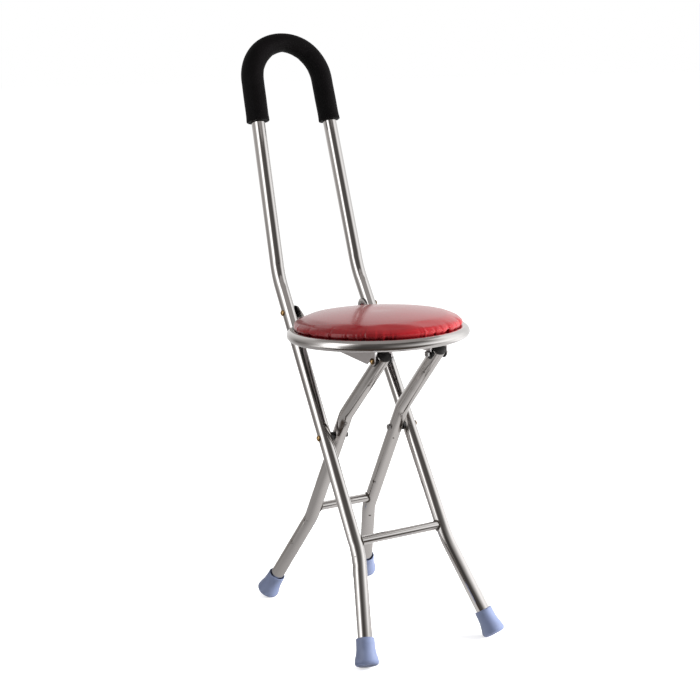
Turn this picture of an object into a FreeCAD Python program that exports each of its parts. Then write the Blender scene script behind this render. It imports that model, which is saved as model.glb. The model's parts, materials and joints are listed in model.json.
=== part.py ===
"""Folding walking stick seat: a bent steel tube frame with a foam-sleeved U handle, a short
inner leg frame that crosses it on two bolts, and a round padded seat that tips up to fold.

Frame: millimetres, +Z up. The origin is on the floor, under the middle of the whole object.
The handle is at +Y (back), the seat's free edge at -Y (front), the sitter's left at -X.
"""
import FreeCAD, Part
import math
import os
import re
import Sketcher

Vector = FreeCAD.Vector
doc = FreeCAD.newDocument("WalkingStickSeat")
sheet = doc.addObject("Spreadsheet::Sheet", "Sizes")

# Driving sizes. Leans are in degrees from the vertical, in the side view.
DRIVING = [
    ("tube_diameter", 20.0, "main frame tube, outside"),
    ("tube_wall", 1.2, "wall of the main frame tube"),
    ("bar_diameter", 12.7, "tube of the two crossbars, outside"),
    ("bar_wall", 1.0, "wall of the crossbars"),
    ("crossing_forward", 34.1, "crossing bolts, in front of the origin"),
    ("crossing_height", 282.2, "crossing bolts, above the floor"),
    ("long_leg_lean", 32.5, "long frame below the seat bend, leaning back"),
    ("crossing_to_hinge", 193.0, "crossing to the seat hinge, along the long leg"),
    ("crossing_to_seat_bend", 250.0, "crossing to the bend above the seat"),
    ("crossing_to_front_bend", 173.0, "crossing down to the front leg's lower bend"),
    ("front_foot_lean", 30.0, "front leg below its lower bend"),
    ("upright_lean", 16.8, "uprights above the seat bend"),
    ("upright_length", 343.4, "seat bend to the top of the handle's centreline"),
    ("handle_half_width", 55.6, "half width where the uprights meet the handle's top line"),
    ("handle_flat", 1.0, "straight left at the top of the handle"),
    ("seat_bend_half_width", 66.6, "half width of the long frame at the seat bend"),
    ("front_bend_half_width", 72.2, "half width at the front legs' lower bend"),
    ("front_foot_half_width", 105.5, "half width at the front feet"),
    ("seat_bend_radius", 115.0, "centreline radius of the bend above the seat"),
    ("front_bend_radius", 140.0, "centreline radius of the front legs' lower bend"),
    ("rear_bend_radius", 75.0, "centreline radius of the rear legs' lower bend"),
    ("top_bend_radius", 42.0, "centreline radius of the short legs' upper bend"),
    ("frame_gap", 2.6, "between the long frame's tubes and the short frame's"),
    ("short_leg_lean", 30.0, "short frame at the crossing, leaning forward"),
    ("crossing_to_top_bend", 40.0, "crossing up to the short leg's upper bend"),
    ("crossing_to_rear_bend", 163.0, "crossing down to the rear leg's lower bend"),
    ("leg_top_lean", 44.6, "short leg above its upper bend, leaning forward"),
    ("leg_top_draw_in", 2.8, "short leg's top, nearer to the middle than its upper bend"),
    ("catch_below", 23.7, "catch bolt below the ring's centre plane"),
    ("catch_from_end", 9.5, "catch bolt, below the cut end of the short leg"),
    ("rear_foot_half_width", 87.5, "half width at the rear feet"),
    ("bar_above_bend", 18.5, "crossbar above the lower bend, along the leg"),
    ("foot_length", 37.5, "rubber foot, top to bottom"),
    ("foot_wall", 3.0, "rubber round the tube, at the foot's mouth"),
    ("foot_flare", 3.75, "foot's base beyond its mouth, all round"),
    ("foot_floor", 8.0, "rubber under the end of the tube"),
    ("foot_edge", 3.5, "rounding of the foot's base"),
    ("foot_lip", 1.0, "rounding of the foot's mouth"),
    ("foot_axis_height", 7.0, "middle of the foot's base, above the floor"),
    ("sleeve_thickness", 5.45, "foam of the handle's sleeve"),
    ("sleeve_straight", 63.0, "foam sleeve below the handle's bend"),
    ("seat_pitch", 2.0, "seat ring, front edge up"),
    ("hinge_to_ring", 11.0, "long frame's tube at the hinge, behind the ring where the ear stands"),
    ("hinge_above_ring", 19.3, "hinge above the ring's centre plane"),
    ("ring_radius", 119.0, "seat ring, centreline"),
    ("ring_tube", 16.0, "tube of the seat ring, outside"),
    ("ring_wall", 1.2, "wall of the seat ring's tube"),
    ("pan_thickness", 1.2, "steel pan that closes the ring"),
    ("board_thickness", 6.0, "board under the cushion"),
    ("board_gap", 3.0, "round the board, inside the ring"),
    ("cover_thickness", 1.0, "leathercloth of the cushion"),
    ("cushion_crown", 31.5, "top of the cushion above the ring's centre plane"),
    ("cushion_shoulder", 16.6, "from the cushion's widest line in to where its dome starts"),
    ("cushion_shoulder_height", 22.2, "height of that shoulder"),
    ("cushion_side_radius", 22.5, "arc from that shoulder to the widest line"),
    ("cushion_inset", 2.4, "cushion's widest line, inside the ring's centreline"),
    ("cushion_lift", 0.6, "cushion's widest line, above the top of the ring"),
    ("cushion_gap", 0.8, "between the ring and the cushion's drawn-in edge"),
    ("cushion_draw_in", 39.5, "that edge, up round the ring's tube from its inside"),
    ("foam_inset", 1.25, "foam's widest line, inside the cover's"),
    ("foam_lift", 0.5, "foam's widest line, above the cover's"),
    ("hem_width", 16.0, "cover turned in under the board"),
    ("channel_sheet", 1.6, "sheet of the under-seat channels and the hinge ears"),
    ("channel_rear_depth", 13.0, "channel's lower edge below the ring's plane, at the back"),
    ("channel_front_depth", 30.0, "outer flange's lower edge below the ring's plane, at its deepest"),
    ("channel_inner_depth", 20.5, "inner flange's lower edge below the ring's plane, at the front"),
    ("channel_deepest", 12.0, "channel's deepest place, behind the catch bolt"),
    ("channel_front_lead", 6.5, "channel's upper front corner ahead of the catch bolt"),
    ("channel_rear_gap", 3.8, "channel's rear end to the ring"),
    ("catch_nose", 6.0, "channel's rounded nose, from the catch bolt's middle"),
    ("catch_way", 35.0, "catch's opening, from straight down towards the back"),
    ("catch_flare", 24.0, "widening of the catch's opening"),
    ("ear_radius", 8.5, "rounded end of a hinge ear"),
    ("bolt_diameter", 5.0, "all the pivot bolts"),
    ("bolt_end", 0.6, "bolt standing out of its nut"),
    ("head_diameter", 8.6, "bolt heads"),
    ("head_height", 3.2, "bolt heads"),
    ("head_rim", 0.8, "straight rim under a bolt head's dome"),
    ("nut_width", 8.0, "nuts, across the flats"),
    ("nut_height", 2.8, "nuts"),
    ("washer_diameter", 18.0, "black washers at the hinge"),
    ("catch_washer_diameter", 15.0, "black washers at the catch"),
    ("washer_thickness", 1.6, "black washers"),
    ("washer_edge", 0.4, "chamfer of the black washers"),
    ("spacer_diameter", 13.0, "black spacer between the frames"),
    ("plug_cap", 3.2, "plug cap that stands out of the short leg's top"),
    ("plug_rim", 1.1, "straight rim under the plug's dome"),
    ("plug_insert", 5.0, "plug inside the tube"),
    ("screw_circle", 78.0, "board screws, from the ring's centre"),
    ("screw_diameter", 4.0, "board screws"),
    ("screw_length", 4.5, "board screws, inside the board"),
    ("screw_tip_gap", 0.5, "left of the hole beyond a board screw"),
    ("screw_head", 8.0, "heads of the board screws"),
    ("screw_head_height", 2.0, "heads of the board screws"),
    ("screw_head_face", 5.6, "outer face of a board screw's head"),
    ("pivot_clearance", 0.08, "radial clearance of a bolt in a part that turns on it"),
    ("side_clearance", 0.3, "gap between a fixed and a turning face"),
    ("fit_clearance", 0.05, "clearance of pushed-on, plugged and clamped pieces"),
    ("screw_clearance", 0.1, "radial clearance of the board screws in the pan"),
    ("catch_clearance", 0.35, "radial clearance of the catch round its bolt"),
]

# Sizes that follow from the driving ones. Y is measured from the origin, Z from the floor.
DERIVED = [
    ("tube_radius", "tube_diameter / 2"),
    ("bolt_radius", "bolt_diameter / 2"),
    ("fixed_bore", "bolt_radius + fit_clearance"),
    ("turning_bore", "bolt_radius + pivot_clearance"),
    ("crossing_y", "-crossing_forward"),
    ("hinge_y", "crossing_y + crossing_to_hinge * sin(long_leg_lean)"),
    ("hinge_z", "crossing_height + crossing_to_hinge * cos(long_leg_lean)"),
    ("seat_bend_y", "crossing_y + crossing_to_seat_bend * sin(long_leg_lean)"),
    ("seat_bend_z", "crossing_height + crossing_to_seat_bend * cos(long_leg_lean)"),
    ("front_bend_y", "crossing_y - crossing_to_front_bend * sin(long_leg_lean)"),
    ("front_bend_z", "crossing_height - crossing_to_front_bend * cos(long_leg_lean)"),
    ("front_foot_y", "front_bend_y - (front_bend_z - foot_axis_height) * tan(front_foot_lean)"),
    ("handle_y", "seat_bend_y + upright_length * sin(upright_lean)"),
    ("handle_z", "seat_bend_z + upright_length * cos(upright_lean)"),
    ("spread", "(front_bend_half_width - seat_bend_half_width)"
               " / (crossing_to_seat_bend + crossing_to_front_bend)"),
    ("hinge_tube_x", "seat_bend_half_width + (crossing_to_seat_bend - crossing_to_hinge) * spread"),
    ("crossing_tube_x", "seat_bend_half_width + crossing_to_seat_bend * spread"),
    ("crossing_leg_x", "crossing_tube_x - tube_diameter - frame_gap"),
    ("top_bend_half_width", "crossing_leg_x - crossing_to_top_bend * spread"),
    ("rear_bend_half_width", "crossing_leg_x + crossing_to_rear_bend * spread"),
    ("leg_top_half_width", "top_bend_half_width - leg_top_draw_in"),
    ("hinge_washer_x", "hinge_tube_x - tube_radius - side_clearance - washer_thickness"),
    ("ear_outer_x", "hinge_washer_x - side_clearance"),
    ("ear_middle_x", "ear_outer_x - channel_sheet / 2"),
    ("ear_foot_y", "sqrt(ring_radius ^ 2 - ear_middle_x ^ 2)"),
    ("hinge_behind_ring", "ear_foot_y + ring_tube / 2 + tube_radius + hinge_to_ring"),
    ("ear_rise", "atan2(hinge_above_ring; hinge_behind_ring - ear_foot_y)"),
    ("ring_y", "hinge_y - hinge_behind_ring * cos(seat_pitch) - hinge_above_ring * sin(seat_pitch)"),
    ("ring_z", "hinge_z + hinge_behind_ring * sin(seat_pitch) - hinge_above_ring * cos(seat_pitch)"),
    ("top_bend_y", "crossing_y - crossing_to_top_bend * sin(short_leg_lean)"),
    ("top_bend_z", "crossing_height + crossing_to_top_bend * cos(short_leg_lean)"),
    ("top_bend_to_catch", "((ring_y - top_bend_y) * sin(seat_pitch) + (ring_z - top_bend_z)"
                          " * cos(seat_pitch) - catch_below) / cos(leg_top_lean + seat_pitch)"),
    ("leg_top_length", "top_bend_to_catch + catch_from_end"),
    ("leg_top_y", "top_bend_y - leg_top_length * sin(leg_top_lean)"),
    ("leg_top_z", "top_bend_z + leg_top_length * cos(leg_top_lean)"),
    ("catch_y", "top_bend_y - top_bend_to_catch * sin(leg_top_lean)"),
    ("catch_z", "top_bend_z + top_bend_to_catch * cos(leg_top_lean)"),
    ("catch_leg_x", "leg_top_half_width + leg_top_draw_in * catch_from_end / leg_top_length"),
    ("catch_in_front", "(ring_y - catch_y) * cos(seat_pitch) + (catch_z - ring_z) * sin(seat_pitch)"),
    ("catch_hole", "bolt_radius + catch_clearance"),
    ("rear_bend_y", "crossing_y + crossing_to_rear_bend * sin(short_leg_lean)"),
    ("rear_bend_z", "crossing_height - crossing_to_rear_bend * cos(short_leg_lean)"),
    ("rear_foot_y", "rear_bend_y + (rear_bend_z - foot_axis_height) * tan(short_leg_lean)"),
    ("foot_top_radius", "tube_radius + foot_wall"),
    ("foot_base_radius", "foot_top_radius + foot_flare"),
    ("ring_inner_radius", "ring_radius - ring_tube / 2"),
    ("board_radius", "ring_inner_radius - board_gap"),
    ("board_top", "cover_thickness + board_thickness"),
    ("cushion_radius", "ring_radius - cushion_inset"),
    ("cushion_wide_height", "ring_tube / 2 + cushion_lift"),
    ("cushion_seam_radius", "ring_radius - (ring_tube / 2 + cushion_gap) * cos(cushion_draw_in)"),
    ("cushion_seam_height", "(ring_tube / 2 + cushion_gap) * sin(cushion_draw_in)"),
    ("shoulder_radius", "cushion_radius - cushion_shoulder"),
    ("dome_drop", "cushion_crown - cushion_shoulder_height"),
    ("dome_radius", "(shoulder_radius ^ 2 + dome_drop ^ 2) / (2 * dome_drop)"),
    ("channel_gap", "tube_diameter + 2 * (washer_thickness + 2 * side_clearance)"),
    ("channel_width", "channel_gap + 2 * channel_sheet"),
    ("channel_rear", "sqrt(ring_inner_radius ^ 2 - catch_leg_x ^ 2) - channel_rear_gap"),
    ("web_underside", "pan_thickness + channel_sheet"),
    ("head_dome", "head_height - head_rim"),
    ("head_dome_radius", "(head_diameter ^ 2 / 4 + head_dome ^ 2) / (2 * head_dome)"),
    ("plug_dome", "plug_cap - plug_rim"),
    ("plug_dome_radius", "(tube_radius ^ 2 + plug_dome ^ 2) / (2 * plug_dome)"),
    ("hinge_head_x", "hinge_tube_x + tube_radius + fit_clearance"),
    ("hinge_nut_x", "ear_outer_x - channel_sheet - side_clearance - nut_height"),
    ("crossing_head_x", "crossing_tube_x + tube_radius + fit_clearance"),
    ("crossing_nut_x", "crossing_leg_x - tube_radius - side_clearance - nut_height"),
    ("catch_washer_reach", "tube_radius + side_clearance + washer_thickness"),
    ("catch_head_x", "catch_leg_x + channel_width / 2 + side_clearance"),
    ("catch_nut_x", "catch_leg_x - channel_width / 2 - side_clearance - nut_height"),
]

ALIASES = [row[0] for row in DRIVING] + [row[0] for row in DERIVED]
for row, (alias, value, note) in enumerate(DRIVING, start=1):
    sheet.set(f"A{row}", note)
    sheet.set(f"B{row}", str(value))
    sheet.setAlias(f"B{row}", alias)
for row, (alias, formula) in enumerate(DERIVED, start=len(DRIVING) + 1):
    sheet.set(f"A{row}", "worked out")
    sheet.set(f"B{row}", "=" + formula)
    sheet.setAlias(f"B{row}", alias)
doc.recompute()


def linked(formula):
    """Turn a formula in size names into an expression that reads the sheet."""
    return re.sub(r"[a-z_]{3,}", lambda m: "Sizes." + m[0] if m[0] in ALIASES else m[0], formula)


def size(formula):
    """The value of a formula in size names, in millimetres or degrees."""
    return float(sheet.evalExpression(linked(formula)))


# Helpers: outlines, solids and placements

def new_sketch(body, name, plane):
    """An empty sketch on one of a body's own origin planes."""
    sketch = body.newObject("Sketcher::SketchObject", name)
    face = [item for item in body.Origin.OriginFeatures if item.Role == plane][0]
    sketch.AttachmentSupport = [(face, "")]
    sketch.MapMode = "FlatFace"
    return sketch


def pin(sketch, edge, vertex, across, up):
    """Hold a sketch point at a pair of formulas."""
    for way, formula in (("DistanceX", across), ("DistanceY", up)):
        number = sketch.addConstraint(Sketcher.Constraint(way, edge, vertex, size(formula)))
        sketch.setExpression(f"Constraints[{number}]", linked(formula))


def arc_between(start, end, radius, bulges_left):
    """The short arc of a radius from start to end, as sketch geometry."""
    half = (end - start) * 0.5
    to_centre = Vector(half.y, -half.x, 0).normalize() * (1 if bulges_left else -1)
    centre = start + half + to_centre * math.sqrt(radius ** 2 - half.Length ** 2)
    circle = Part.Circle(centre, Vector(0, 0, 1), radius)
    first, last = (end, start) if bulges_left else (start, end)
    low, high = circle.parameter(first), circle.parameter(last)
    if high < low:
        high += 2 * math.pi
    return Part.ArcOfCircle(circle, low, high)


def outline(body, name, plane, corners):
    """A closed sketch through corners (across, up), each a pair of formulas. A third item is the
    radius formula of an arc that leads to the next corner: it bulges to the left of the way there
    when a fourth item is 'left', and otherwise to the right."""
    sketch = new_sketch(body, name, plane)
    points = [Vector(size(corner[0]), size(corner[1]), 0) for corner in corners]
    ends = []
    for i, corner in enumerate(corners):
        start, end = points[i], points[(i + 1) % len(points)]
        if len(corner) == 2:
            sketch.addGeometry(Part.LineSegment(start, end))
            ends.append((1, 2))
        else:
            bulges_left = corner[-1] == "left"
            sketch.addGeometry(arc_between(start, end, size(corner[2]), bulges_left))
            ends.append((2, 1) if bulges_left else (1, 2))
    for i, corner in enumerate(corners):
        following = (i + 1) % len(corners)
        sketch.addConstraint(
            Sketcher.Constraint("Coincident", i, ends[i][1], following, ends[following][0]))
        pin(sketch, i, ends[i][0], corner[0], corner[1])
        if len(corner) > 2:
            number = sketch.addConstraint(Sketcher.Constraint("Radius", i, size(corner[2])))
            sketch.setExpression(f"Constraints[{number}]", linked(corner[2]))
    return sketch


def circles(body, name, plane, centres, diameter):
    """A sketch of equal circles at centres (across, up), all given as formulas."""
    sketch = new_sketch(body, name, plane)
    for i, (across, up) in enumerate(centres):
        centre = Vector(size(across), size(up), 0)
        sketch.addGeometry(Part.Circle(centre, Vector(0, 0, 1), size(diameter) / 2))
        pin(sketch, i, 3, across, up)
        number = sketch.addConstraint(Sketcher.Constraint("Diameter", i, size(diameter)))
        sketch.setExpression(f"Constraints[{number}]", linked(diameter))
    return sketch


def new_body(label):
    body = doc.addObject("PartDesign::Body", "Body")
    body.Label = label
    return body


def pad(body, name, sketch, length, midplane=False):
    made = body.newObject("PartDesign::Pad", name)
    made.Profile = sketch
    made.Midplane = midplane
    made.setExpression("Length", linked(length))
    return made


def cut_through(body, name, sketch, length):
    """Cut a sketch through a body, half of the length to each side of the sketch."""
    made = body.newObject("PartDesign::Pocket", name)
    made.Profile = sketch
    made.Midplane = True
    made.setExpression("Length", linked(length))
    return made


def turned(body, name, corners):
    """Revolve an outline of the XZ plane about the body's own Z axis."""
    sketch = outline(body, name + "_profile", "XZ_Plane", corners)
    made = body.newObject("PartDesign::Revolution", name)
    made.Profile = sketch
    z_axis = [item for item in body.Origin.OriginFeatures if item.Role == "Z_Axis"][0]
    made.ReferenceAxis = (z_axis, [""])
    made.Angle = 360.0
    return made


def place(piece, x, y, z, axis=None, angle="0"):
    """Put a piece at formulas x, y, z, turned by a formula about an axis."""
    if axis is not None:
        piece.Placement.Rotation = FreeCAD.Rotation(axis, 10)
        for way in "xyz":
            piece.setExpression(f"Placement.Rotation.Axis.{way}", str(getattr(axis, way)))
        piece.setExpression("Placement.Rotation.Angle", linked(angle))
    for way, formula in (("x", x), ("y", y), ("z", z)):
        piece.setExpression(f"Placement.Base.{way}", linked(formula))
    return piece


def on_seat(piece):
    """Turn a piece modelled in the seat's own plane, about the ring's centre, into its place."""
    return place(piece, "0", "ring_y", "ring_z", Vector(1, 0, 0), "-seat_pitch")


def outward(piece, sign, x, y, z):
    """Turn a piece's own Z to point away from the middle of the object, along X."""
    return place(piece, f"{sign} * ({x})", y, z, Vector(0, 1, 0), f"{sign} * 90")


def primitive(kind, name, **sizes):
    """A Part primitive whose sizes are formulas."""
    made = doc.addObject(f"Part::{kind}", name)
    for word, formula in sizes.items():
        made.setExpression(word, linked(formula))
    return made


def cut(label, base, tool):
    made = doc.addObject("Part::Cut", label)
    made.Base, made.Tool = base, tool
    return made


def feature(label, shape):
    piece = doc.addObject("Part::Feature", "Feature")
    piece.Shape = shape
    piece.Label = label
    return piece


nodes = []


def keep(piece, label=None):
    """List a finished sub-part for checking and export."""
    if label is not None:
        piece.Label = label
    nodes.append(piece)
    return piece


def point(x, y, z):
    return Vector(size(x), size(y), size(z))


def bent_wire(points, radii):
    """Straight runs joined by tangent arcs: radii holds one radius for each inner point."""
    edges = []
    here = points[0]
    for i in range(1, len(points) - 1):
        back = (points[i - 1] - points[i]).normalize()
        ahead = (points[i + 1] - points[i]).normalize()
        turn = math.pi - back.getAngle(ahead)
        tangent = radii[i - 1] * math.tan(turn / 2)
        to_middle = radii[i - 1] * (1 / math.cos(turn / 2) - 1)
        start = points[i] + back * tangent
        end = points[i] + ahead * tangent
        middle = points[i] + (back + ahead).normalize() * to_middle
        edges.append(Part.LineSegment(here, start).toShape())
        edges.append(Part.Arc(start, middle, end).toShape())
        here = end
    edges.append(Part.LineSegment(here, points[-1]).toShape())
    return Part.Wire(edges)


def rod_along(wire, radius):
    """A round solid of the given radius along a wire."""
    first = wire.Edges[0]
    start = first.valueAt(first.FirstParameter)
    way = first.tangentAt(first.FirstParameter)
    circle = Part.Wire(Part.Circle(start, way, radius).toShape())
    return wire.makePipeShell([circle], True, False, 1)


def tube_along(wire, diameter, wall):
    return rod_along(wire, diameter / 2).cut(rod_along(wire, diameter / 2 - wall))


def bore_across(place, sign, radius):
    """A cutter along X through a tube whose middle is at a place on the right-hand side."""
    middle = Vector(sign * place.x, place.y, place.z)
    reach = Vector(size("tube_diameter"), 0, 0)
    return Part.makeCylinder(radius, 2 * reach.x, middle - reach, Vector(1, 0, 0))


SIDES = (("left", -1), ("right", 1))
tube_radius = size("tube_radius")
fixed_bore = size("fixed_bore")

# Long frame: one tube from foot to foot over the handle

front_bend = point("front_bend_half_width", "front_bend_y", "front_bend_z")
front_base = point("front_foot_half_width", "front_foot_y", "foot_axis_height")
front_way = (front_bend - front_base).normalize()
front_end = front_base + front_way * size("foot_floor")
seat_bend = point("seat_bend_half_width", "seat_bend_y", "seat_bend_z")
handle_top = point("handle_half_width", "handle_y", "handle_z")
upright_way = (handle_top - seat_bend).normalize()
handle_turn = math.pi / 2 - math.asin(-upright_way.x)
handle_radius = (handle_top.x - size("handle_flat") / 2) / math.tan(handle_turn / 2)


def mirrored(p):
    return Vector(-p.x, p.y, p.z)


half_route = [front_end, front_bend, seat_bend, handle_top]
long_route = [mirrored(p) for p in half_route] + half_route[::-1]
long_radii = [size("front_bend_radius"), size("seat_bend_radius"), handle_radius]
long_wire = bent_wire(long_route, long_radii + long_radii[::-1])
long_shape = tube_along(long_wire, size("tube_diameter"), size("tube_wall"))
for side, sign in SIDES:
    for bolt_place in (point("hinge_tube_x", "hinge_y", "hinge_z"),
                       point("crossing_tube_x", "crossing_y", "crossing_height")):
        long_shape = long_shape.cut(bore_across(bolt_place, sign, fixed_bore))
keep(feature("long_frame", long_shape))
long_rod = rod_along(long_wire, tube_radius)

# Foam sleeve over the handle
arc_tangent = handle_radius * math.tan(handle_turn / 2)
sleeve_end = handle_top - upright_way * (arc_tangent + size("sleeve_straight"))
sleeve_wire = bent_wire([mirrored(sleeve_end), mirrored(handle_top), handle_top, sleeve_end],
                        [handle_radius, handle_radius])
sleeve_diameter = size("tube_diameter + 2 * (fit_clearance + sleeve_thickness)")
keep(feature("handle_sleeve", tube_along(sleeve_wire, sleeve_diameter, size("sleeve_thickness"))))

# Short frame: two rear legs that cross inside the long frame
leg_top = point("leg_top_half_width", "leg_top_y", "leg_top_z")
top_bend = point("top_bend_half_width", "top_bend_y", "top_bend_z")
rear_bend = point("rear_bend_half_width", "rear_bend_y", "rear_bend_z")
rear_base = point("rear_foot_half_width", "rear_foot_y", "foot_axis_height")
rear_way = (rear_bend - rear_base).normalize()
rear_end = rear_base + rear_way * size("foot_floor")
short_rods = []
for side, sign in SIDES:
    route = [leg_top, top_bend, rear_bend, rear_end]
    if sign < 0:
        route = [mirrored(p) for p in route]
    wire = bent_wire(route, [size("top_bend_radius"), size("rear_bend_radius")])
    leg = tube_along(wire, size("tube_diameter"), size("tube_wall"))
    crossing = point("crossing_leg_x", "crossing_y", "crossing_height")
    catch = point("catch_leg_x", "catch_y", "catch_z")
    leg = leg.cut(bore_across(crossing, sign, size("turning_bore")))
    leg = leg.cut(bore_across(catch, sign, fixed_bore))
    keep(feature(f"rear_{side}_leg", leg))
    short_rods.append(rod_along(wire, tube_radius))

# Crossbars, cut to the curve of the legs that they are welded to
for label, rods, bend_y, bend_z, lean, half_width in (
        ("front_crossbar", [long_rod], "front_bend_y", "front_bend_z", "long_leg_lean",
         "front_bend_half_width"),
        ("rear_crossbar", short_rods, "rear_bend_y", "rear_bend_z", "-short_leg_lean",
         "rear_bend_half_width")):
    bar = []
    for kind, radius in (("outside", "bar_diameter / 2"), ("inside", "bar_diameter / 2 - bar_wall")):
        cylinder = primitive("Cylinder", f"{label}_{kind}", Radius=radius, Height=f"2 * {half_width}")
        place(cylinder, f"-({half_width})", f"{bend_y} + bar_above_bend * sin({lean})",
              f"{bend_z} + bar_above_bend * cos({lean})", Vector(0, 1, 0), "90")
        bar.append(cylinder)
    legs = feature(f"{label}_legs", rods[0] if len(rods) == 1 else rods[0].fuse(rods[1]))
    keep(cut(label, cut(f"{label}_pipe", *bar), legs), label)

# Rubber feet: a flared ferrule, worn flat where it meets the floor
ferrule_outline = [
    ("0", "0"),
    ("foot_base_radius - foot_edge", "0", "foot_edge"),
    ("foot_base_radius", "foot_edge"),
    ("foot_top_radius", "foot_length - foot_lip", "foot_lip"),
    ("foot_top_radius - foot_lip", "foot_length"),
    ("tube_radius + fit_clearance", "foot_length"),
    ("tube_radius + fit_clearance", "foot_floor"),
    ("0", "foot_floor"),
]


def rubber_foot(label, base, way):
    """A ferrule with its base centred at a point, up along a way, cut off level at the floor."""
    body = new_body(label + "_ferrule")
    turned(body, label + "_turned", ferrule_outline)
    body.Placement = FreeCAD.Placement(base, FreeCAD.Rotation(Vector(0, 0, 1), way))
    floor = primitive("Box", label + "_floor", Length="4 * foot_base_radius",
                      Width="4 * foot_base_radius", Height="foot_length")
    place(floor, f"{base.x} - 2 * foot_base_radius", f"{base.y} - 2 * foot_base_radius",
          "-foot_length")
    keep(cut(label, body, floor), label)


for side, sign in SIDES:
    for end, base, way in (("front", front_base, front_way), ("rear", rear_base, rear_way)):
        where = base if sign > 0 else mirrored(base)
        along = way if sign > 0 else mirrored(way)
        rubber_foot(f"{end}_{side}_foot", where, along)

# Plugs in the short legs' open tops
plug_outline = [
    ("0", "-plug_insert"),
    ("tube_radius - tube_wall - fit_clearance", "-plug_insert"),
    ("tube_radius - tube_wall - fit_clearance", "0"),
    ("tube_radius", "0"),
    ("tube_radius", "plug_rim", "plug_dome_radius"),
    ("0", "plug_cap"),
]
top_way = (leg_top - top_bend).normalize()
for side, sign in SIDES:
    body = new_body(f"leg_top_plug_{side}")
    turned(body, f"plug_{side}_turned", plug_outline)
    where = leg_top if sign > 0 else mirrored(leg_top)
    along = top_way if sign > 0 else mirrored(top_way)
    body.Placement = FreeCAD.Placement(where, FreeCAD.Rotation(Vector(0, 0, 1), along))
    keep(body)

# Under-seat channels: folded sheet, with an outer flange that hooks over the catch bolt and a
# shallower inner flange that stays above it.
# All that follows up to the screws is modelled in the seat's own plane: +Y back, +Z up.


def filled_ring(name):
    """The ring without its bore, to cut what is welded to it."""
    return primitive("Torus", name, Radius1="ring_radius", Radius2="ring_tube / 2")


channel_side = [
    ("-(catch_in_front + channel_front_lead)", "-pan_thickness"),
    ("-(catch_in_front + catch_nose)", "-catch_below", "catch_nose"),
    ("-catch_in_front", "-(catch_below + catch_nose)"),
    ("-catch_in_front + channel_deepest", "-channel_front_depth"),
    ("channel_rear", "-channel_rear_depth"),
    ("channel_rear", "-pan_thickness"),
]
channel_inside = [
    ("-(catch_in_front + 2 * channel_front_lead)", "-web_underside"),
    ("-(catch_in_front + 2 * channel_front_lead)", "-2 * channel_front_depth"),
    ("channel_rear + channel_front_lead", "-2 * channel_front_depth"),
    ("channel_rear + channel_front_lead", "-web_underside"),
]
mouth_front = ("-catch_in_front - catch_hole * cos(catch_way)",
               "-catch_below - catch_hole * sin(catch_way)")
mouth_back = ("-catch_in_front + catch_hole * cos(catch_way + catch_flare)",
              "-catch_below + catch_hole * sin(catch_way + catch_flare)")
catch_mouth = [
    mouth_front,
    (mouth_front[0] + " + channel_front_depth * sin(catch_way)",
     mouth_front[1] + " - channel_front_depth * cos(catch_way)"),
    (mouth_back[0] + " + channel_front_depth * sin(catch_way + catch_flare)",
     mouth_back[1] + " - channel_front_depth * cos(catch_way + catch_flare)"),
    mouth_back,
]
inner_trim = [
    ("-(catch_in_front + 2 * channel_front_lead)", "-channel_inner_depth"),
    ("-(catch_in_front + 2 * channel_front_lead)", "-2 * channel_front_depth"),
    ("channel_rear + channel_front_lead", "-2 * channel_front_depth"),
    ("channel_rear + channel_front_lead", "-channel_rear_depth"),
]
for side, sign in SIDES:
    body = new_body(f"channel_{side}_sheet")
    pad(body, f"channel_{side}_block",
        outline(body, f"channel_{side}_side", "YZ_Plane", channel_side), "channel_width", True)
    cut_through(body, f"channel_{side}_inside",
                outline(body, f"channel_{side}_hollow", "YZ_Plane", channel_inside), "channel_gap")
    cut_through(body, f"channel_{side}_seat",
                circles(body, f"channel_{side}_rest", "YZ_Plane",
                        [("-catch_in_front", "-catch_below")], "2 * catch_hole"),
                "2 * channel_width")
    cut_through(body, f"channel_{side}_mouth",
                outline(body, f"channel_{side}_way_out", "YZ_Plane", catch_mouth),
                "2 * channel_width")
    place(body, f"{sign} * catch_leg_x", "0", "0")
    trim = new_body(f"channel_{side}_trim")
    pad(trim, f"channel_{side}_trim_block",
        outline(trim, f"channel_{side}_trim_side", "YZ_Plane", inner_trim), "3 * channel_sheet", True)
    place(trim, f"{sign} * (catch_leg_x - (channel_gap + channel_sheet) / 2)", "0", "0")
    trimmed = cut(f"channel_{side}_trimmed", body, trim)
    channel = cut(f"seat_channel_{side}", trimmed, filled_ring(f"ring_of_channel_{side}"))
    keep(on_seat(channel), f"seat_channel_{side}")

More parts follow.
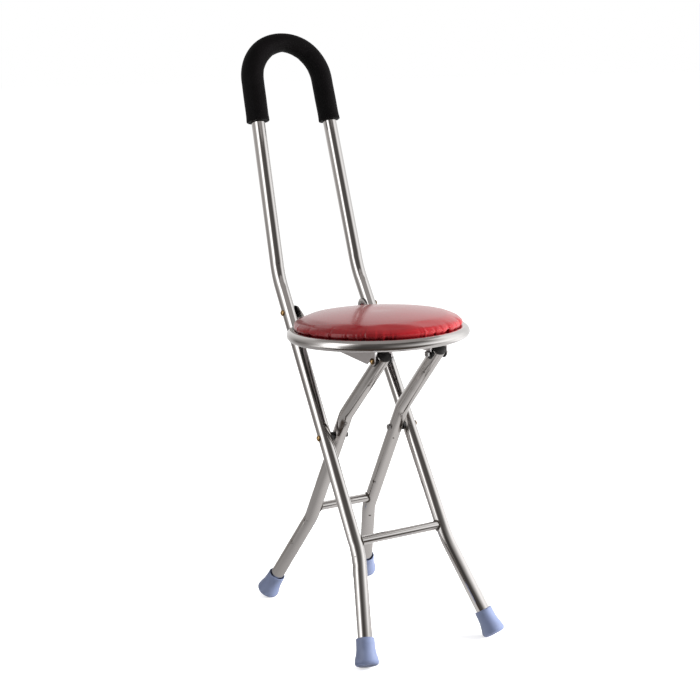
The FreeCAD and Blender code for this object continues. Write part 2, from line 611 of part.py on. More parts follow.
# Hinge ears: flat plates that rise from the ring to the hinge bolts
ear_outline = [
    ("ear_foot_y - ring_tube / 2 * sin(ear_rise)", "ring_tube / 2 * cos(ear_rise)"),
    ("ear_foot_y + ring_tube / 2 * sin(ear_rise)", "-ring_tube / 2 * cos(ear_rise)"),
    ("hinge_behind_ring + ear_radius * sin(ear_rise)",
     "hinge_above_ring - ear_radius * cos(ear_rise)", "ear_radius"),
    ("hinge_behind_ring + ear_radius * cos(ear_rise)",
     "hinge_above_ring + ear_radius * sin(ear_rise)", "ear_radius"),
    ("hinge_behind_ring - ear_radius * sin(ear_rise)",
     "hinge_above_ring + ear_radius * cos(ear_rise)"),
]
for side, sign in SIDES:
    body = new_body(f"ear_{side}_sheet")
    pad(body, f"ear_{side}_plate", outline(body, f"ear_{side}_outline", "YZ_Plane", ear_outline),
        "channel_sheet", True)
    cut_through(body, f"ear_{side}_bore",
                circles(body, f"ear_{side}_hole", "YZ_Plane",
                        [("hinge_behind_ring", "hinge_above_ring")], "2 * turning_bore"),
                "2 * channel_sheet")
    place(body, f"{sign} * ear_middle_x", "0", "0")
    ear = cut(f"hinge_ear_{side}", body, filled_ring(f"ring_of_ear_{side}"))
    keep(on_seat(ear), f"hinge_ear_{side}")

# Seat ring, and the pan welded into it
ring_bore = primitive("Torus", "ring_bore", Radius1="ring_radius", Radius2="ring_tube / 2 - ring_wall")
keep(on_seat(cut("seat_ring", filled_ring("ring_outside"), ring_bore)), "seat_ring")

screw_places = [("screw_circle", "0"), ("0", "screw_circle"), ("-screw_circle", "0"),
                ("0", "-screw_circle")]

body = new_body("seat_pan")
turned(body, "pan_disc", [
    ("0", "-pan_thickness"),
    ("ring_inner_radius", "-pan_thickness"),
    ("ring_inner_radius", "0"),
    ("0", "0")])
cut_through(body, "pan_drilled", circles(body, "pan_holes", "XY_Plane", screw_places,
                                         "screw_diameter + 2 * screw_clearance"),
            "4 * pan_thickness")
keep(on_seat(body))

# Cushion: board, foam and leathercloth cover, which turns in under the board
body = new_body("seat_board")
turned(body, "board_disc", [
    ("0", "cover_thickness"),
    ("board_radius", "cover_thickness"),
    ("board_radius", "board_top"),
    ("0", "board_top")])
cut_through(body, "board_drilled", circles(body, "board_holes", "XY_Plane", screw_places,
                                           "screw_diameter + 2 * fit_clearance"),
            "2 * (cover_thickness + screw_length + screw_tip_gap)")
keep(on_seat(body))

foam_edge = ("cushion_radius - foam_inset", "cushion_wide_height + foam_lift")
foam_shoulder = ("shoulder_radius", "cushion_shoulder_height - cover_thickness")
foam_crown = ("0", "cushion_crown - cover_thickness")
foam_side_arc = "cushion_side_radius - cover_thickness"

body = new_body("seat_foam")
turned(body, "foam_turned", [
    ("0", "board_top"),
    ("board_radius", "board_top"),
    (*foam_edge, foam_side_arc),
    (*foam_shoulder, "dome_radius"),
    foam_crown])
keep(on_seat(body))

body = new_body("seat_cover")
turned(body, "cover_turned", [
    ("board_radius - hem_width", "0"),
    ("board_radius + cover_thickness", "0"),
    ("board_radius + cover_thickness", "cushion_seam_height / 2"),
    ("cushion_seam_radius", "cushion_seam_height"),
    ("cushion_radius", "cushion_wide_height", "cushion_side_radius"),
    ("shoulder_radius", "cushion_shoulder_height", "dome_radius"),
    ("0", "cushion_crown"),
    (*foam_crown, "dome_radius", "left"),
    (*foam_shoulder, foam_side_arc, "left"),
    foam_edge,
    ("board_radius", "board_top"),
    ("board_radius", "cover_thickness"),
    ("board_radius - hem_width", "cover_thickness")])
keep(on_seat(body))

# Board screws, one node: heads under the pan, shanks up into the board
screws = []
for number, (across, up) in enumerate(screw_places):
    shank = primitive("Cylinder", f"screw_{number}_shank", Radius="screw_diameter / 2",
                      Height="pan_thickness + cover_thickness + screw_length")
    head = primitive("Cone", f"screw_{number}_head", Radius1="screw_head_face / 2",
                     Radius2="screw_head / 2", Height="screw_head_height")
    place(shank, across, up, "-pan_thickness")
    place(head, across, up, "-pan_thickness - screw_head_height")
    screw = doc.addObject("Part::Fuse", f"screw_{number}")
    screw.Base, screw.Tool = shank, head
    screws.append(screw)
screw_group = doc.addObject("Part::Compound", "board_screws")
screw_group.Links = screws
keep(on_seat(screw_group), "board_screws")

# Pivot bolts, nuts, washers and spacers, each along its own Z


def bolt(label, sign, head_x, end_x, y, z):
    """A dome-headed bolt: head_x is under its head, end_x its far end."""
    body = new_body(label)
    turned(body, label + "_turned", [
        ("0", f"{end_x} - {head_x}"),
        ("bolt_radius", f"{end_x} - {head_x}"),
        ("bolt_radius", "0"),
        ("head_diameter / 2", "0"),
        ("head_diameter / 2", "head_rim", "head_dome_radius"),
        ("0", "head_height")])
    keep(outward(body, sign, head_x, y, z))


def hex_nut(label, sign, x, y, z):
    """A nut whose inner end is at x."""
    body = new_body(label)
    corners = [(f"nut_width / 2 / cos(30) * cos({turn})", f"nut_width / 2 / cos(30) * sin({turn})")
               for turn in range(0, 360, 60)]
    pad(body, label + "_hexagon", outline(body, label + "_outline", "XY_Plane", corners), "nut_height")
    cut_through(body, label + "_bore",
                circles(body, label + "_hole", "XY_Plane", [("0", "0")], "2 * fixed_bore"),
                "4 * nut_height")
    keep(outward(body, sign, x, y, z))


def washer(label, sign, diameter, x, y, z):
    """A flat washer whose inner face is at x."""
    body = new_body(label)
    turned(body, label + "_turned", [
        ("fixed_bore", "0"),
        (f"{diameter} / 2 - washer_edge", "0"),
        (f"{diameter} / 2", "washer_edge"),
        (f"{diameter} / 2", "washer_thickness"),
        ("fixed_bore", "washer_thickness")])
    keep(outward(body, sign, x, y, z))


for side, sign in SIDES:
    hinge = ("hinge_y", "hinge_z")
    bolt(f"hinge_bolt_{side}", sign, "hinge_head_x", "(hinge_nut_x - bolt_end)", *hinge)
    washer(f"hinge_washer_{side}", sign, "washer_diameter", "hinge_washer_x", *hinge)
    hex_nut(f"hinge_nut_{side}", sign, "hinge_nut_x", *hinge)

    crossing = ("crossing_y", "crossing_height")
    bolt(f"crossing_bolt_{side}", sign, "crossing_head_x", "(crossing_nut_x - bolt_end)", *crossing)
    hex_nut(f"crossing_nut_{side}", sign, "crossing_nut_x", *crossing)
    disc, bore = [
        outward(primitive("Cylinder", f"spacer_{side}_{kind}", Radius=radius,
                          Height="crossing_tube_x - crossing_leg_x - tube_radius - side_clearance"),
                sign, "crossing_leg_x + tube_radius + side_clearance", *crossing)
        for kind, radius in (("disc", "spacer_diameter / 2"), ("bore", "fixed_bore"))]
    spacer = cut(f"crossing_spacer_{side}", cut(f"spacer_{side}_ring", disc, bore),
                 feature(f"spacer_{side}_saddle", long_rod))
    keep(spacer, f"crossing_spacer_{side}")

    catch = ("catch_y", "catch_z")
    bolt(f"catch_bolt_{side}", sign, "catch_head_x", "(catch_nut_x - bolt_end)", *catch)
    for face, x in (("outer", "catch_leg_x + catch_washer_reach - washer_thickness"),
                    ("inner", "catch_leg_x - catch_washer_reach")):
        washer(f"catch_{face}_washer_{side}", sign, "catch_washer_diameter", x, *catch)
    hex_nut(f"catch_nut_{side}", sign, "catch_nut_x", *catch)

# Check every object, then write each sub-part to its own file

doc.recompute()
for item in doc.Objects:
    if "Invalid" in item.State or "Error" in item.State:
        raise RuntimeError(f"{item.Name} ({item.Label}) failed: {item.State}")
labels = [piece.Label for piece in nodes]
if len(set(labels)) != len(labels):
    raise RuntimeError("two sub-parts share a name")
for piece in nodes:
    if piece.Shape.isNull() or not piece.Shape.isValid():
        raise RuntimeError(f"{piece.Label} has no valid shape")
os.makedirs("parts", exist_ok=True)
for piece in nodes:
    piece.Shape.exportStep(f"parts/{piece.Label}.step")
    print(f"{piece.Label}: {len(piece.Shape.Solids)} solid, {piece.Shape.Volume / 1000:.2f} cm3")
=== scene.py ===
# %% [markdown]
# # A folding walking stick seat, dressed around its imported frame
# The real thing is one long polished steel tube, bent from foot to foot over a sponge handle, a
# short inner frame that crosses it on two bolts, and a round red cushion in a steel ring. The
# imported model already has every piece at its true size. This script gives the pieces that show
# most a finer surface, and gives every piece its finish.
# %% Load the frame
import json
import math

import bpy
import numpy as np
from mathutils import Matrix, Vector


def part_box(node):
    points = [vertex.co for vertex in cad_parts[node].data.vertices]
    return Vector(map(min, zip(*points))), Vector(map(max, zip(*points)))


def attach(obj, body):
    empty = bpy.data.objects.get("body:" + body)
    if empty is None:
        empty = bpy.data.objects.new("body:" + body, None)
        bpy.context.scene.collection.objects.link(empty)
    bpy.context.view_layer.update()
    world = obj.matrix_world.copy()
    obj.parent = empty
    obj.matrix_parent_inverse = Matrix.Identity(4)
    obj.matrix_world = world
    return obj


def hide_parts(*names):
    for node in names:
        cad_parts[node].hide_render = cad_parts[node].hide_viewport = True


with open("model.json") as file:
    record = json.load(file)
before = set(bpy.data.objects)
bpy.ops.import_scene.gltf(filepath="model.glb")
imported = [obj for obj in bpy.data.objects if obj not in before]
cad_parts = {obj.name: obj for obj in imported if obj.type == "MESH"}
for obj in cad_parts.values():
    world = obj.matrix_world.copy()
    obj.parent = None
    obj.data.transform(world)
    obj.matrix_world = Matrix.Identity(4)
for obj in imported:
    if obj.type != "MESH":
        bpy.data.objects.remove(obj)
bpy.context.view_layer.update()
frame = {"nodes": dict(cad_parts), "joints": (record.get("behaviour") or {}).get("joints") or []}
pivots = {joint["name"]: np.array(joint["pos_m"]) for joint in frame["joints"]}
nodes = frame["nodes"]
SIDES = {"left": -1, "right": 1}
MM = 0.001
print("frame:", len(nodes), "nodes, pivots", sorted(pivots))

# %% [markdown]
# ## The camera
# The camera was fitted to the photograph by matching places on the frame, such as bends, bolts and
# feet, to where they show; its place, its three angles and its lens are given here from that fit.
# The picture was cropped off centre, so the lens is also shifted.
# %% Camera
PICTURE = (700, 697)
LENS_CENTRE = (381.9, 400.2)
FOCAL_PIXELS = 1485.4
AZIMUTH, ELEVATION, ROLL = (math.radians(x) for x in (-31.5246, 13.4298, -0.5405))
CAMERA_PLACE = Vector((-1.0563, -1.7960, 0.8170))

back = Vector((math.sin(AZIMUTH) * math.cos(ELEVATION), -math.cos(AZIMUTH) * math.cos(ELEVATION),
               math.sin(ELEVATION)))
level_right = Vector((math.cos(AZIMUTH), math.sin(AZIMUTH), 0))
level_up = back.cross(level_right)
right = level_right * math.cos(ROLL) + level_up * math.sin(ROLL)
up = level_up * math.cos(ROLL) - level_right * math.sin(ROLL)

camera_data = bpy.data.cameras.new("camera")
camera_data.sensor_fit = "HORIZONTAL"
camera_data.sensor_width = 36
camera_data.lens = FOCAL_PIXELS * 36 / PICTURE[0]
camera_data.shift_x = (PICTURE[0] / 2 - LENS_CENTRE[0]) / PICTURE[0]
camera_data.shift_y = (LENS_CENTRE[1] - PICTURE[1] / 2) / PICTURE[0]
camera = bpy.data.objects.new("camera", camera_data)
camera.matrix_world = Matrix.Translation(CAMERA_PLACE) @ Matrix((right, up, back)).transposed().to_4x4()
bpy.context.scene.collection.objects.link(camera)
bpy.context.scene.camera = camera
print("camera: lens", round(camera_data.lens, 1), "mm, shift", round(camera_data.shift_x, 3),
      round(camera_data.shift_y, 3))

# %% [markdown]
# ## Light for matt surfaces
# Rubber, foam and cloth are lit by an even grey world and two large soft lamps. Mirrors must not
# see those, so the lamps are hidden from glossy rays, and the world gives glossy rays only a grey
# ceiling. The camera sees plain white.
# %% Soft light
TOWARDS_VIEWER = Vector((math.sin(AZIMUTH), -math.cos(AZIMUTH), 0))
TOWARDS_RIGHT = level_right
EVEN_LEVEL, CEILING_GREY = 0.44, (0.38, 0.36, 0.35)
KEY_WATTS, FILL_WATTS = 155, 22
OBJECT_MIDDLE = (0, 0, 0.42)


def new_node(tree, kind, inputs=None, **settings):
    """A node with its settings, and its inputs, by name or number, linked or set."""
    node = tree.nodes.new(kind)
    for word, value in settings.items():
        setattr(node, word, value)
    for socket, value in (inputs or {}).items():
        if isinstance(value, bpy.types.NodeSocket):
            tree.links.new(value, node.inputs[socket])
        else:
            node.inputs[socket].default_value = value
    return node


def math_node(tree, operation, a, b=None, clamp=False):
    """One step of arithmetic on one value, or on two."""
    inputs = {0: a} if b is None else {0: a, 1: b}
    return new_node(tree, "ShaderNodeMath", inputs, operation=operation, use_clamp=clamp).outputs[0]


def dot_with(tree, vector, way):
    """How far a place lies along a direction, in metres."""
    node = new_node(tree, "ShaderNodeVectorMath", {0: vector, 1: way}, operation="DOT_PRODUCT")
    return node.outputs["Value"]


def ramp_between(tree, value, low, high):
    """A smooth step from 0 at low to 1 at high."""
    return new_node(tree, "ShaderNodeMapRange", {0: value, 1: low, 2: high},
                    interpolation_type="SMOOTHSTEP").outputs[0]


def mix_colours(tree, factor, a, b):
    """Colour a where the factor is 0, b where it is 1."""
    return new_node(tree, "ShaderNodeMix", {0: factor, 6: a, 7: b}, data_type="RGBA").outputs[2]


def mix_shaders(tree, factor, a, b):
    return new_node(tree, "ShaderNodeMixShader", {0: factor, 1: a, 2: b}).outputs[0]


world = bpy.data.worlds.new("studio")
bpy.context.scene.world = world
world.use_nodes = True
tree = world.node_tree
tree.nodes.clear()
even, ceiling, white = (
    new_node(tree, "ShaderNodeBackground", {"Color": (*colour, 1), "Strength": strength}).outputs[0]
    for colour, strength in (((1, 1, 1), EVEN_LEVEL), (CEILING_GREY, 1.0), ((1, 1, 1), 1.0)))
path = new_node(tree, "ShaderNodeLightPath").outputs
through = math_node(tree, "MAXIMUM", path["Is Camera Ray"], path["Is Transmission Ray"])
seen = mix_shaders(tree, through, mix_shaders(tree, path["Is Glossy Ray"], even, ceiling), white)
new_node(tree, "ShaderNodeOutputWorld", {"Surface": seen})
bpy.context.scene.view_settings.view_transform = "Standard"


def soft_lamp(name, place, aim, wide, high, watts):
    """A large soft panel lamp that polished steel doesn't show."""
    data = bpy.data.lights.new(name, "AREA")
    data.shape = "RECTANGLE"
    data.size, data.size_y, data.energy = wide, high, watts
    lamp = bpy.data.objects.new(name, data)
    lamp.matrix_world = (Matrix.Translation(place)
                         @ (Vector(aim) - Vector(place)).to_track_quat("-Z", "Y").to_matrix().to_4x4())
    lamp.visible_glossy = False
    bpy.context.scene.collection.objects.link(lamp)


key_place = TOWARDS_RIGHT * 1.9 + TOWARDS_VIEWER * 0.1 + Vector((0, 0, 0.9))
fill_place = TOWARDS_VIEWER * 0.3 - TOWARDS_RIGHT * 1.6 + Vector((0, 0, 1.6))
soft_lamp("key_lamp", key_place, OBJECT_MIDDLE, 1.0, 1.4, KEY_WATTS)
soft_lamp("fill_lamp", fill_place, OBJECT_MIDDLE, 1.2, 1.6, FILL_WATTS)
print("matt light: even world at", EVEN_LEVEL, "and lamps of", KEY_WATTS, "and", FILL_WATTS, "W")

# %% [markdown]
# ## The room that polished steel mirrors
# Polished steel has no colour of its own: it shows the room. The photograph's tubes carry a white
# stripe on the left, a broad dark one in the middle and a pale right edge, and the stripes shift
# between the left and the right leg, so what they mirror stood close. A round screen is put close
# round the object, seen by glossy rays only. Its brightness goes by how far round from the viewer
# a place is, with a list each for its foot, its lower and its upper part: a tall lamp on the left,
# a dark end where the photographer stands, and pale walls behind and to the right.
#
# These numbers come from the photograph. A round tube mirrors most of a room across its width, so
# the brightness at each heading was first worked out from the photographed tubes' colours. Six
# stops of the upper list (at -125, -95, -75, -28, 62 and 150 degrees) still equal such a value. All
# three lists were then changed until the rendered tubes came near the photographed ones.
# %% Mirrored room
SCREEN_RADIUS, SCREEN_HEIGHT, SCREEN_SIDES = 0.7, 1.15, 96
LAMP_STRENGTH = 2.0
GROUND_TO_LOW, LOW_TO_HIGH = (0.12, 0.35), (0.25, 0.80)
GROUND_ROOM = [(-180, 0.9), (-112, 0.3), (-90, 0.35), (-58, 1.6), (-44, 1.6), (-37, 0.3),
               (-20, 0.06), (60, 0.15), (80, 0.6), (110, 1.5), (150, 1.1), (180, 0.9)]
LOW_ROOM = [(-180, 0.9), (-150, 0.85), (-128, 0.5), (-112, 0.15), (-90, 0.2), (-76, 0.4),
            (-66, 0.7), (-58, 2), (-44, 2), (-37, 0.35), (-20, 0.06), (5, 0.07), (25, 0.4),
            (45, 0.85), (60, 1.4), (78, 1.6), (108, 1.4), (128, 0.95), (150, 0.9), (180, 0.9)]
HIGH_ROOM = [(-180, 0.9), (-150, 0.85), (-125, 0.7), (-95, 0.45), (-75, 0.55), (-66, 1.0),
             (-58, 2), (-36, 2), (-28, 0.4), (-15, 0.12), (45, 0.10), (62, 0.22), (76, 0.8),
             (90, 1.25), (108, 1.25), (128, 0.95), (150, 0.9), (180, 0.9)]

angle = np.linspace(0, 2 * math.pi, SCREEN_SIDES, endpoint=False)
rim = SCREEN_RADIUS * np.stack([np.cos(angle), np.sin(angle), 0 * angle], axis=-1)
j = np.arange(SCREEN_SIDES)
beside = (j + 1) % SCREEN_SIDES
screen_mesh = bpy.data.meshes.new("mirrored_room")
screen_mesh.from_pydata(np.concatenate([rim, rim + (0, 0, SCREEN_HEIGHT)]).tolist(), [],
                        np.stack([beside, j, j + SCREEN_SIDES, beside + SCREEN_SIDES], axis=-1).tolist())
screen = bpy.data.objects.new("mirrored_room", screen_mesh)
bpy.context.scene.collection.objects.link(screen)
screen.visible_camera = screen.visible_diffuse = screen.visible_transmission = False
screen.visible_shadow = screen.visible_volume_scatter = False
print("screen:", SCREEN_SIDES, "sides,", SCREEN_RADIUS, "m from the middle,", SCREEN_HEIGHT, "m high")

# %% [markdown]
# The screen's brightness is a colour ramp round the object for each of the three heights, and one
# ramp fades into the next with the height. Its dark parts are a little warmer than its lamps.
# %% Screen brightness
screen_look = bpy.data.materials.new("mirrored_room")
screen_look.use_nodes = True
tree = screen_look.node_tree
tree.nodes.clear()
place = new_node(tree, "ShaderNodeTexCoord").outputs["Object"]
turned = math_node(tree, "ARCTAN2", dot_with(tree, place, TOWARDS_RIGHT),
                   dot_with(tree, place, TOWARDS_VIEWER))
turned = math_node(tree, "ADD", math_node(tree, "DIVIDE", turned, 2 * math.pi), 0.5)


def brightness_by_heading(stops):
    """Straight steps between (degrees to the right of the viewer, brightness); dark is warm."""
    node = new_node(tree, "ShaderNodeValToRGB", {"Fac": turned})
    elements = node.color_ramp.elements
    for heading, brightness in stops:
        if abs(heading) == 180:
            stop = elements[0] if heading < 0 else elements[-1]
        else:
            stop = elements.new(heading / 360 + 0.5)
        level, pale = brightness / LAMP_STRENGTH, min(brightness, 1)
        stop.color = (level, level * (0.93 + 0.07 * pale), level * (0.88 + 0.12 * pale), 1)
    return node.outputs["Color"]


height = new_node(tree, "ShaderNodeSeparateXYZ", {0: place}).outputs["Z"]
room = mix_colours(tree, ramp_between(tree, height, *GROUND_TO_LOW), brightness_by_heading(GROUND_ROOM),
                   brightness_by_heading(LOW_ROOM))
room = mix_colours(tree, ramp_between(tree, height, *LOW_TO_HIGH), room,
                   brightness_by_heading(HIGH_ROOM))
glow = new_node(tree, "ShaderNodeEmission", {"Color": room, "Strength": LAMP_STRENGTH}).outputs[0]
new_node(tree, "ShaderNodeOutputMaterial", {"Surface": glow})
screen_mesh.materials.append(screen_look)
print("mirrored room:", len(GROUND_ROOM), len(LOW_ROOM), "and", len(HIGH_ROOM), "places round it")

# %% [markdown]
# ## The floor
# A plain white floor that runs out of sight. It is lit like any white floor, so the seat throws a
# soft shadow, and it adds a little of its own light to camera rays so that it meets the white
# background without a line. Far from the lamps it needs more of that light than close to them.
# For glossy rays the floor is instead a painted reflection that glows: pale on the right and greyer
# on the left for the light from the right, and dark from a line a little in front of the seat, as the
# dark band low on the photographed seat ring tells.
# %% Floor
floor_mesh = bpy.data.meshes.new("floor")
FLOOR_HALF = 30.0
floor_corners = [(x * FLOOR_HALF, y * FLOOR_HALF, 0) for x, y in ((-1, -1), (1, -1), (1, 1), (-1, 1))]
floor_mesh.from_pydata(floor_corners, [], [(0, 1, 2, 3)])
floor = bpy.data.objects.new("floor", floor_mesh)
bpy.context.scene.collection.objects.link(floor)
floor_look = bpy.data.materials.new("white_floor")
floor_look.use_nodes = True
tree = floor_look.node_tree
tree.nodes.clear()
place = new_node(tree, "ShaderNodeTexCoord").outputs["Object"]
far = new_node(tree, "ShaderNodeVectorMath", {0: place}, operation="LENGTH").outputs["Value"]
glow_level = new_node(tree, "ShaderNodeMapRange", {0: far, 1: 0.5, 2: 2.5, 3: 0.50, 4: 0.66},
                      interpolation_type="SMOOTHSTEP").outputs[0]
matt = new_node(tree, "ShaderNodeBsdfDiffuse", {"Color": (0.82, 0.82, 0.82, 1)}).outputs[0]
glow = new_node(tree, "ShaderNodeEmission", {"Color": (1, 1, 1, 1), "Strength": glow_level}).outputs[0]
seen_floor = new_node(tree, "ShaderNodeAddShader", {0: matt, 1: glow}).outputs[0]
# Painted reflection: glossy rays see a glowing colour here, pale to the right, greyer to the left and
# dark in front of the seat.
in_front = ramp_between(tree, dot_with(tree, place, TOWARDS_VIEWER), 0.15, 0.25)
to_right = ramp_between(tree, dot_with(tree, place, TOWARDS_RIGHT), -0.22, 0.12)
painted_reflection_tone = mix_colours(tree, to_right, (0.42, 0.41, 0.405, 1), (0.80, 0.785, 0.78, 1))
shade = mix_colours(tree, in_front, painted_reflection_tone, (0.07, 0.055, 0.045, 1))
mirrored_floor = new_node(tree, "ShaderNodeEmission", {"Color": shade, "Strength": 1.0}).outputs[0]
floor_path = new_node(tree, "ShaderNodeLightPath").outputs
seen_floor = mix_shaders(tree, floor_path["Is Camera Ray"],
                         mix_shaders(tree, floor_path["Is Glossy Ray"], matt, mirrored_floor),
                         seen_floor)
new_node(tree, "ShaderNodeOutputMaterial", {"Surface": seen_floor})
floor_mesh.materials.append(floor_look)
print("floor:", 2 * FLOOR_HALF, "m square")

# %% [markdown]
# ## Helpers for finishes
# A finish is one Principled shader, with a few noise patterns on its roughness, colour and bump.
# Patterns that several finishes share are node groups: polish marks on metal (fine lines along
# the tube, long scuffs and smudges), and the fine skin of moulded rubber, foam and plastic.
# %% Finish helpers
looks = {}


def new_look(name, **settings):
    """A new material. Each setting goes on the shader's socket of that name, with _ for spaces."""
    look = bpy.data.materials.new(name)
    look.use_nodes = True
    shader = look.node_tree.nodes["Principled BSDF"]
    for socket, value in settings.items():
        shader.inputs[socket.replace("_", " ")].default_value = value
    looks[name] = look
    return look.node_tree, shader


def new_group(name, inputs, outputs):
    """An empty node group with sockets given as {name: (kind, default)} and {name: kind}."""
    group = bpy.data.node_groups.new(name, "ShaderNodeTree")
    for label, (kind, default) in inputs.items():
        socket = group.interface.new_socket(name=label, in_out="INPUT",
                                            socket_type="NodeSocket" + kind)
        if default is not None:
            socket.default_value = default
    for label, kind in outputs.items():
        group.interface.new_socket(name=label, in_out="OUTPUT", socket_type="NodeSocket" + kind)
    return group, group.nodes.new("NodeGroupInput").outputs, group.nodes.new("NodeGroupOutput").inputs


def use_group(tree, group, **inputs):
    """A group placed in a material, with its inputs set or linked by name; its outputs come back."""
    node = tree.nodes.new("ShaderNodeGroup")
    node.node_tree = group
    for socket, value in inputs.items():
        socket = socket.replace("_", " ")
        if isinstance(value, bpy.types.NodeSocket):
            tree.links.new(value, node.inputs[socket])
        else:
            node.inputs[socket].default_value = value
    return node.outputs


def noise(tree, vector, scale, detail=2.0, roughness=0.5, distortion=0.0):
    """Cloudy noise from 0 to 1; the scale is about how many clouds there are in a metre."""
    return new_node(tree, "ShaderNodeTexNoise", {"Vector": vector, "Scale": scale, "Detail": detail,
                    "Roughness": roughness, "Distortion": distortion}).outputs["Fac"]


def bump(tree, height, distance, normal=None):
    """A Bump node in which a height of 1 stands for the distance, in metres."""
    inputs = {"Height": height, "Distance": distance, "Strength": 1.0}
    if normal is not None:
        inputs["Normal"] = normal
    return new_node(tree, "ShaderNodeBump", inputs).outputs["Normal"]


def stretched(tree, vector, scale):
    """A place scaled by axis, so that a pattern on it runs long where the scale is small."""
    return new_node(tree, "ShaderNodeMapping", {"Vector": vector, "Scale": scale}).outputs[0]


def scaled(tree, value, low, high):
    """A value from 0 to 1 spread between low and high."""
    return new_node(tree, "ShaderNodeMapRange", {0: value, 3: low, 4: high}).outputs[0]


# %% [markdown]
# The polish marks: noise stretched along the tube makes the fine lines, a coarser one cut off at a
# threshold that wanders makes the scuffs, and round noise makes the smudges. The moulded skin is
# cells and noise for the bump, and a slow mottle for the colour.
# %% Shared patterns
marks, given, puts = new_group(
    "polish_marks",
    {"Vector": ("Vector", None), "Lines per metre": ("Float", 2500.0), "Scuff amount": ("Float", 0.3)},
    {"Lines": "Float", "Scuffs": "Float", "Smudges": "Float"})
fine = noise(marks, stretched(marks, given["Vector"], (1.0, 0.02, 1.0)), given["Lines per metre"],
             3.0, 0.6)
marks.links.new(fine, puts["Lines"])
scratch = noise(marks, stretched(marks, given["Vector"], (1.0, 0.09, 1.0)), 420.0, 4.0, 0.65)
where = noise(marks, given["Vector"], 14.0, 2.0)
threshold = scaled(marks, math_node(marks, "MULTIPLY", where, given["Scuff amount"]), 0.80, 0.42)
scuff = math_node(marks, "MULTIPLY", math_node(marks, "SUBTRACT", scratch, threshold), 8.0, clamp=True)
marks.links.new(scuff, puts["Scuffs"])
marks.links.new(noise(marks, given["Vector"], 30.0, 5.0, 0.6), puts["Smudges"])

skin, given, puts = new_group(
    "moulded_skin", {"Vector": ("Vector", None), "Grains per metre": ("Float", 900.0)},
    {"Height": "Float", "Mottle": "Float"})
cells = new_node(skin, "ShaderNodeTexVoronoi",
                 {"Vector": given["Vector"], "Scale": given["Grains per metre"]}).outputs[0]
soft = noise(skin, given["Vector"], given["Grains per metre"], 3.0)
skin.links.new(math_node(skin, "ADD", cells, soft), puts["Height"])
skin.links.new(noise(skin, given["Vector"], 45.0, 4.0, 0.6), puts["Mottle"])
print("shared patterns:", marks.name, skin.name)

# %% [markdown]
# ## Steel
# The long frame is bright polished stainless tube, the ring and the rear legs are a little duller,
# and the pan under the seat is coloured near black as painted shade, so that the legs mirror a dark
# underside there. Polished tube carries fine lines along it, so the swept tubes have a UV map in
# metres (round the tube, and along it) for them, while the flat parts use Object coordinates. Where
# folding has knocked the tubes, dark flecks gather round a few places. Those places were read off
# the photographed marks, while the flecks are noise. A slow wave in every surface keeps its
# reflections from being ruler straight.
# %% Steel finishes
WAVE_HEIGHT = 0.00020
KNOCK_COLOUR = (0.045, 0.032, 0.026, 1)


def steel(name, colour, roughness, lines, scuff_amount, stretch=None, worn=(), **settings):
    """Steel whose roughness and bump follow the polish marks; stretch is for parts with no UV map.
    worn lists (x, y, z, reach) in mm of places with dark knocks, broken up by fleck noise."""
    tree, shader = new_look(name, **{"Metallic": 1.0, **settings})
    place = new_node(tree, "ShaderNodeTexCoord").outputs["Object" if stretch else "UV"]
    if stretch:
        place = stretched(tree, place, stretch)
    seen = use_group(tree, marks, Vector=place, Scuff_amount=scuff_amount)
    dull = tuple(0.72 * c for c in colour)
    shade = mix_colours(tree, scaled(tree, seen["Smudges"], 0.0, 0.35), (*colour, 1), (*dull, 1))
    shade = mix_colours(tree, scaled(tree, seen["Scuffs"], 0.0, 0.6), shade, (*dull, 1))
    here = new_node(tree, "ShaderNodeTexCoord").outputs["Object"]
    if worn:
        flecks = noise(tree, here, 260.0, 4.0, 0.7)
        knocks = 0.0
        for *spot, reach in worn:
            away = new_node(tree, "ShaderNodeVectorMath", {0: here, 1: [c * MM for c in spot]},
                            operation="DISTANCE").outputs["Value"]
            knocks = math_node(tree, "MAXIMUM", knocks, ramp_between(tree, away, reach * MM, 0.0))
        cut = scaled(tree, knocks, 0.85, 0.40)
        knocks = math_node(tree, "MULTIPLY", math_node(tree, "SUBTRACT", flecks, cut), 7.0, clamp=True)
        shade = mix_colours(tree, knocks, shade, KNOCK_COLOUR)
    tree.links.new(shade, shader.inputs["Base Color"])
    rough = math_node(tree, "ADD", scaled(tree, seen["Smudges"], roughness * 0.7, roughness * 1.3),
                      math_node(tree, "MULTIPLY", seen["Scuffs"], 0.22), clamp=True)
    tree.links.new(rough, shader.inputs["Roughness"])
    lined = bump(tree, seen["Lines"], lines)
    waves = noise(tree, here, 28.0, 1.0)
    tree.links.new(bump(tree, waves, WAVE_HEIGHT, lined), shader.inputs["Normal"])


POLISHED = (0.67, 0.650, 0.638)
BRUSHED = (0.62, 0.597, 0.582)
KNOCKS_LEGS = [(39.7, 15.9, 187.2, 9), (43.1, -34.8, 265.5, 5), (-60.3, 46.7, 135.3, 10),
               (-71.7, 70.9, 98.6, 9), (50.3, 45.7, 124.5, 6), (37.1, -124.9, 379.7, 7),
               (-49, -120.9, 371.6, 8)]
KNOCKS_FRAME = [(-80.6, -115.6, 163.1, 5), (-81.6, -132.7, 136.5, 5), (-67.6, 96.0, 513.3, 4),
                (63.8, 86.1, 488.6, 4)]
steel("leg_tube", BRUSHED, 0.12, 0.000003, 0.95, worn=KNOCKS_LEGS)
steel("polished_tube", POLISHED, 0.075, 0.000001, 0.4, worn=KNOCKS_FRAME)
steel("ring_steel", POLISHED, 0.16, 0.000002, 0.6)
steel("polished_plate", (0.80, 0.78, 0.77), 0.34, 0.000001, 0.6, (1, 1, 1))
steel("bar_steel", POLISHED, 0.11, 0.000001, 0.7, (0.02, 1, 1))
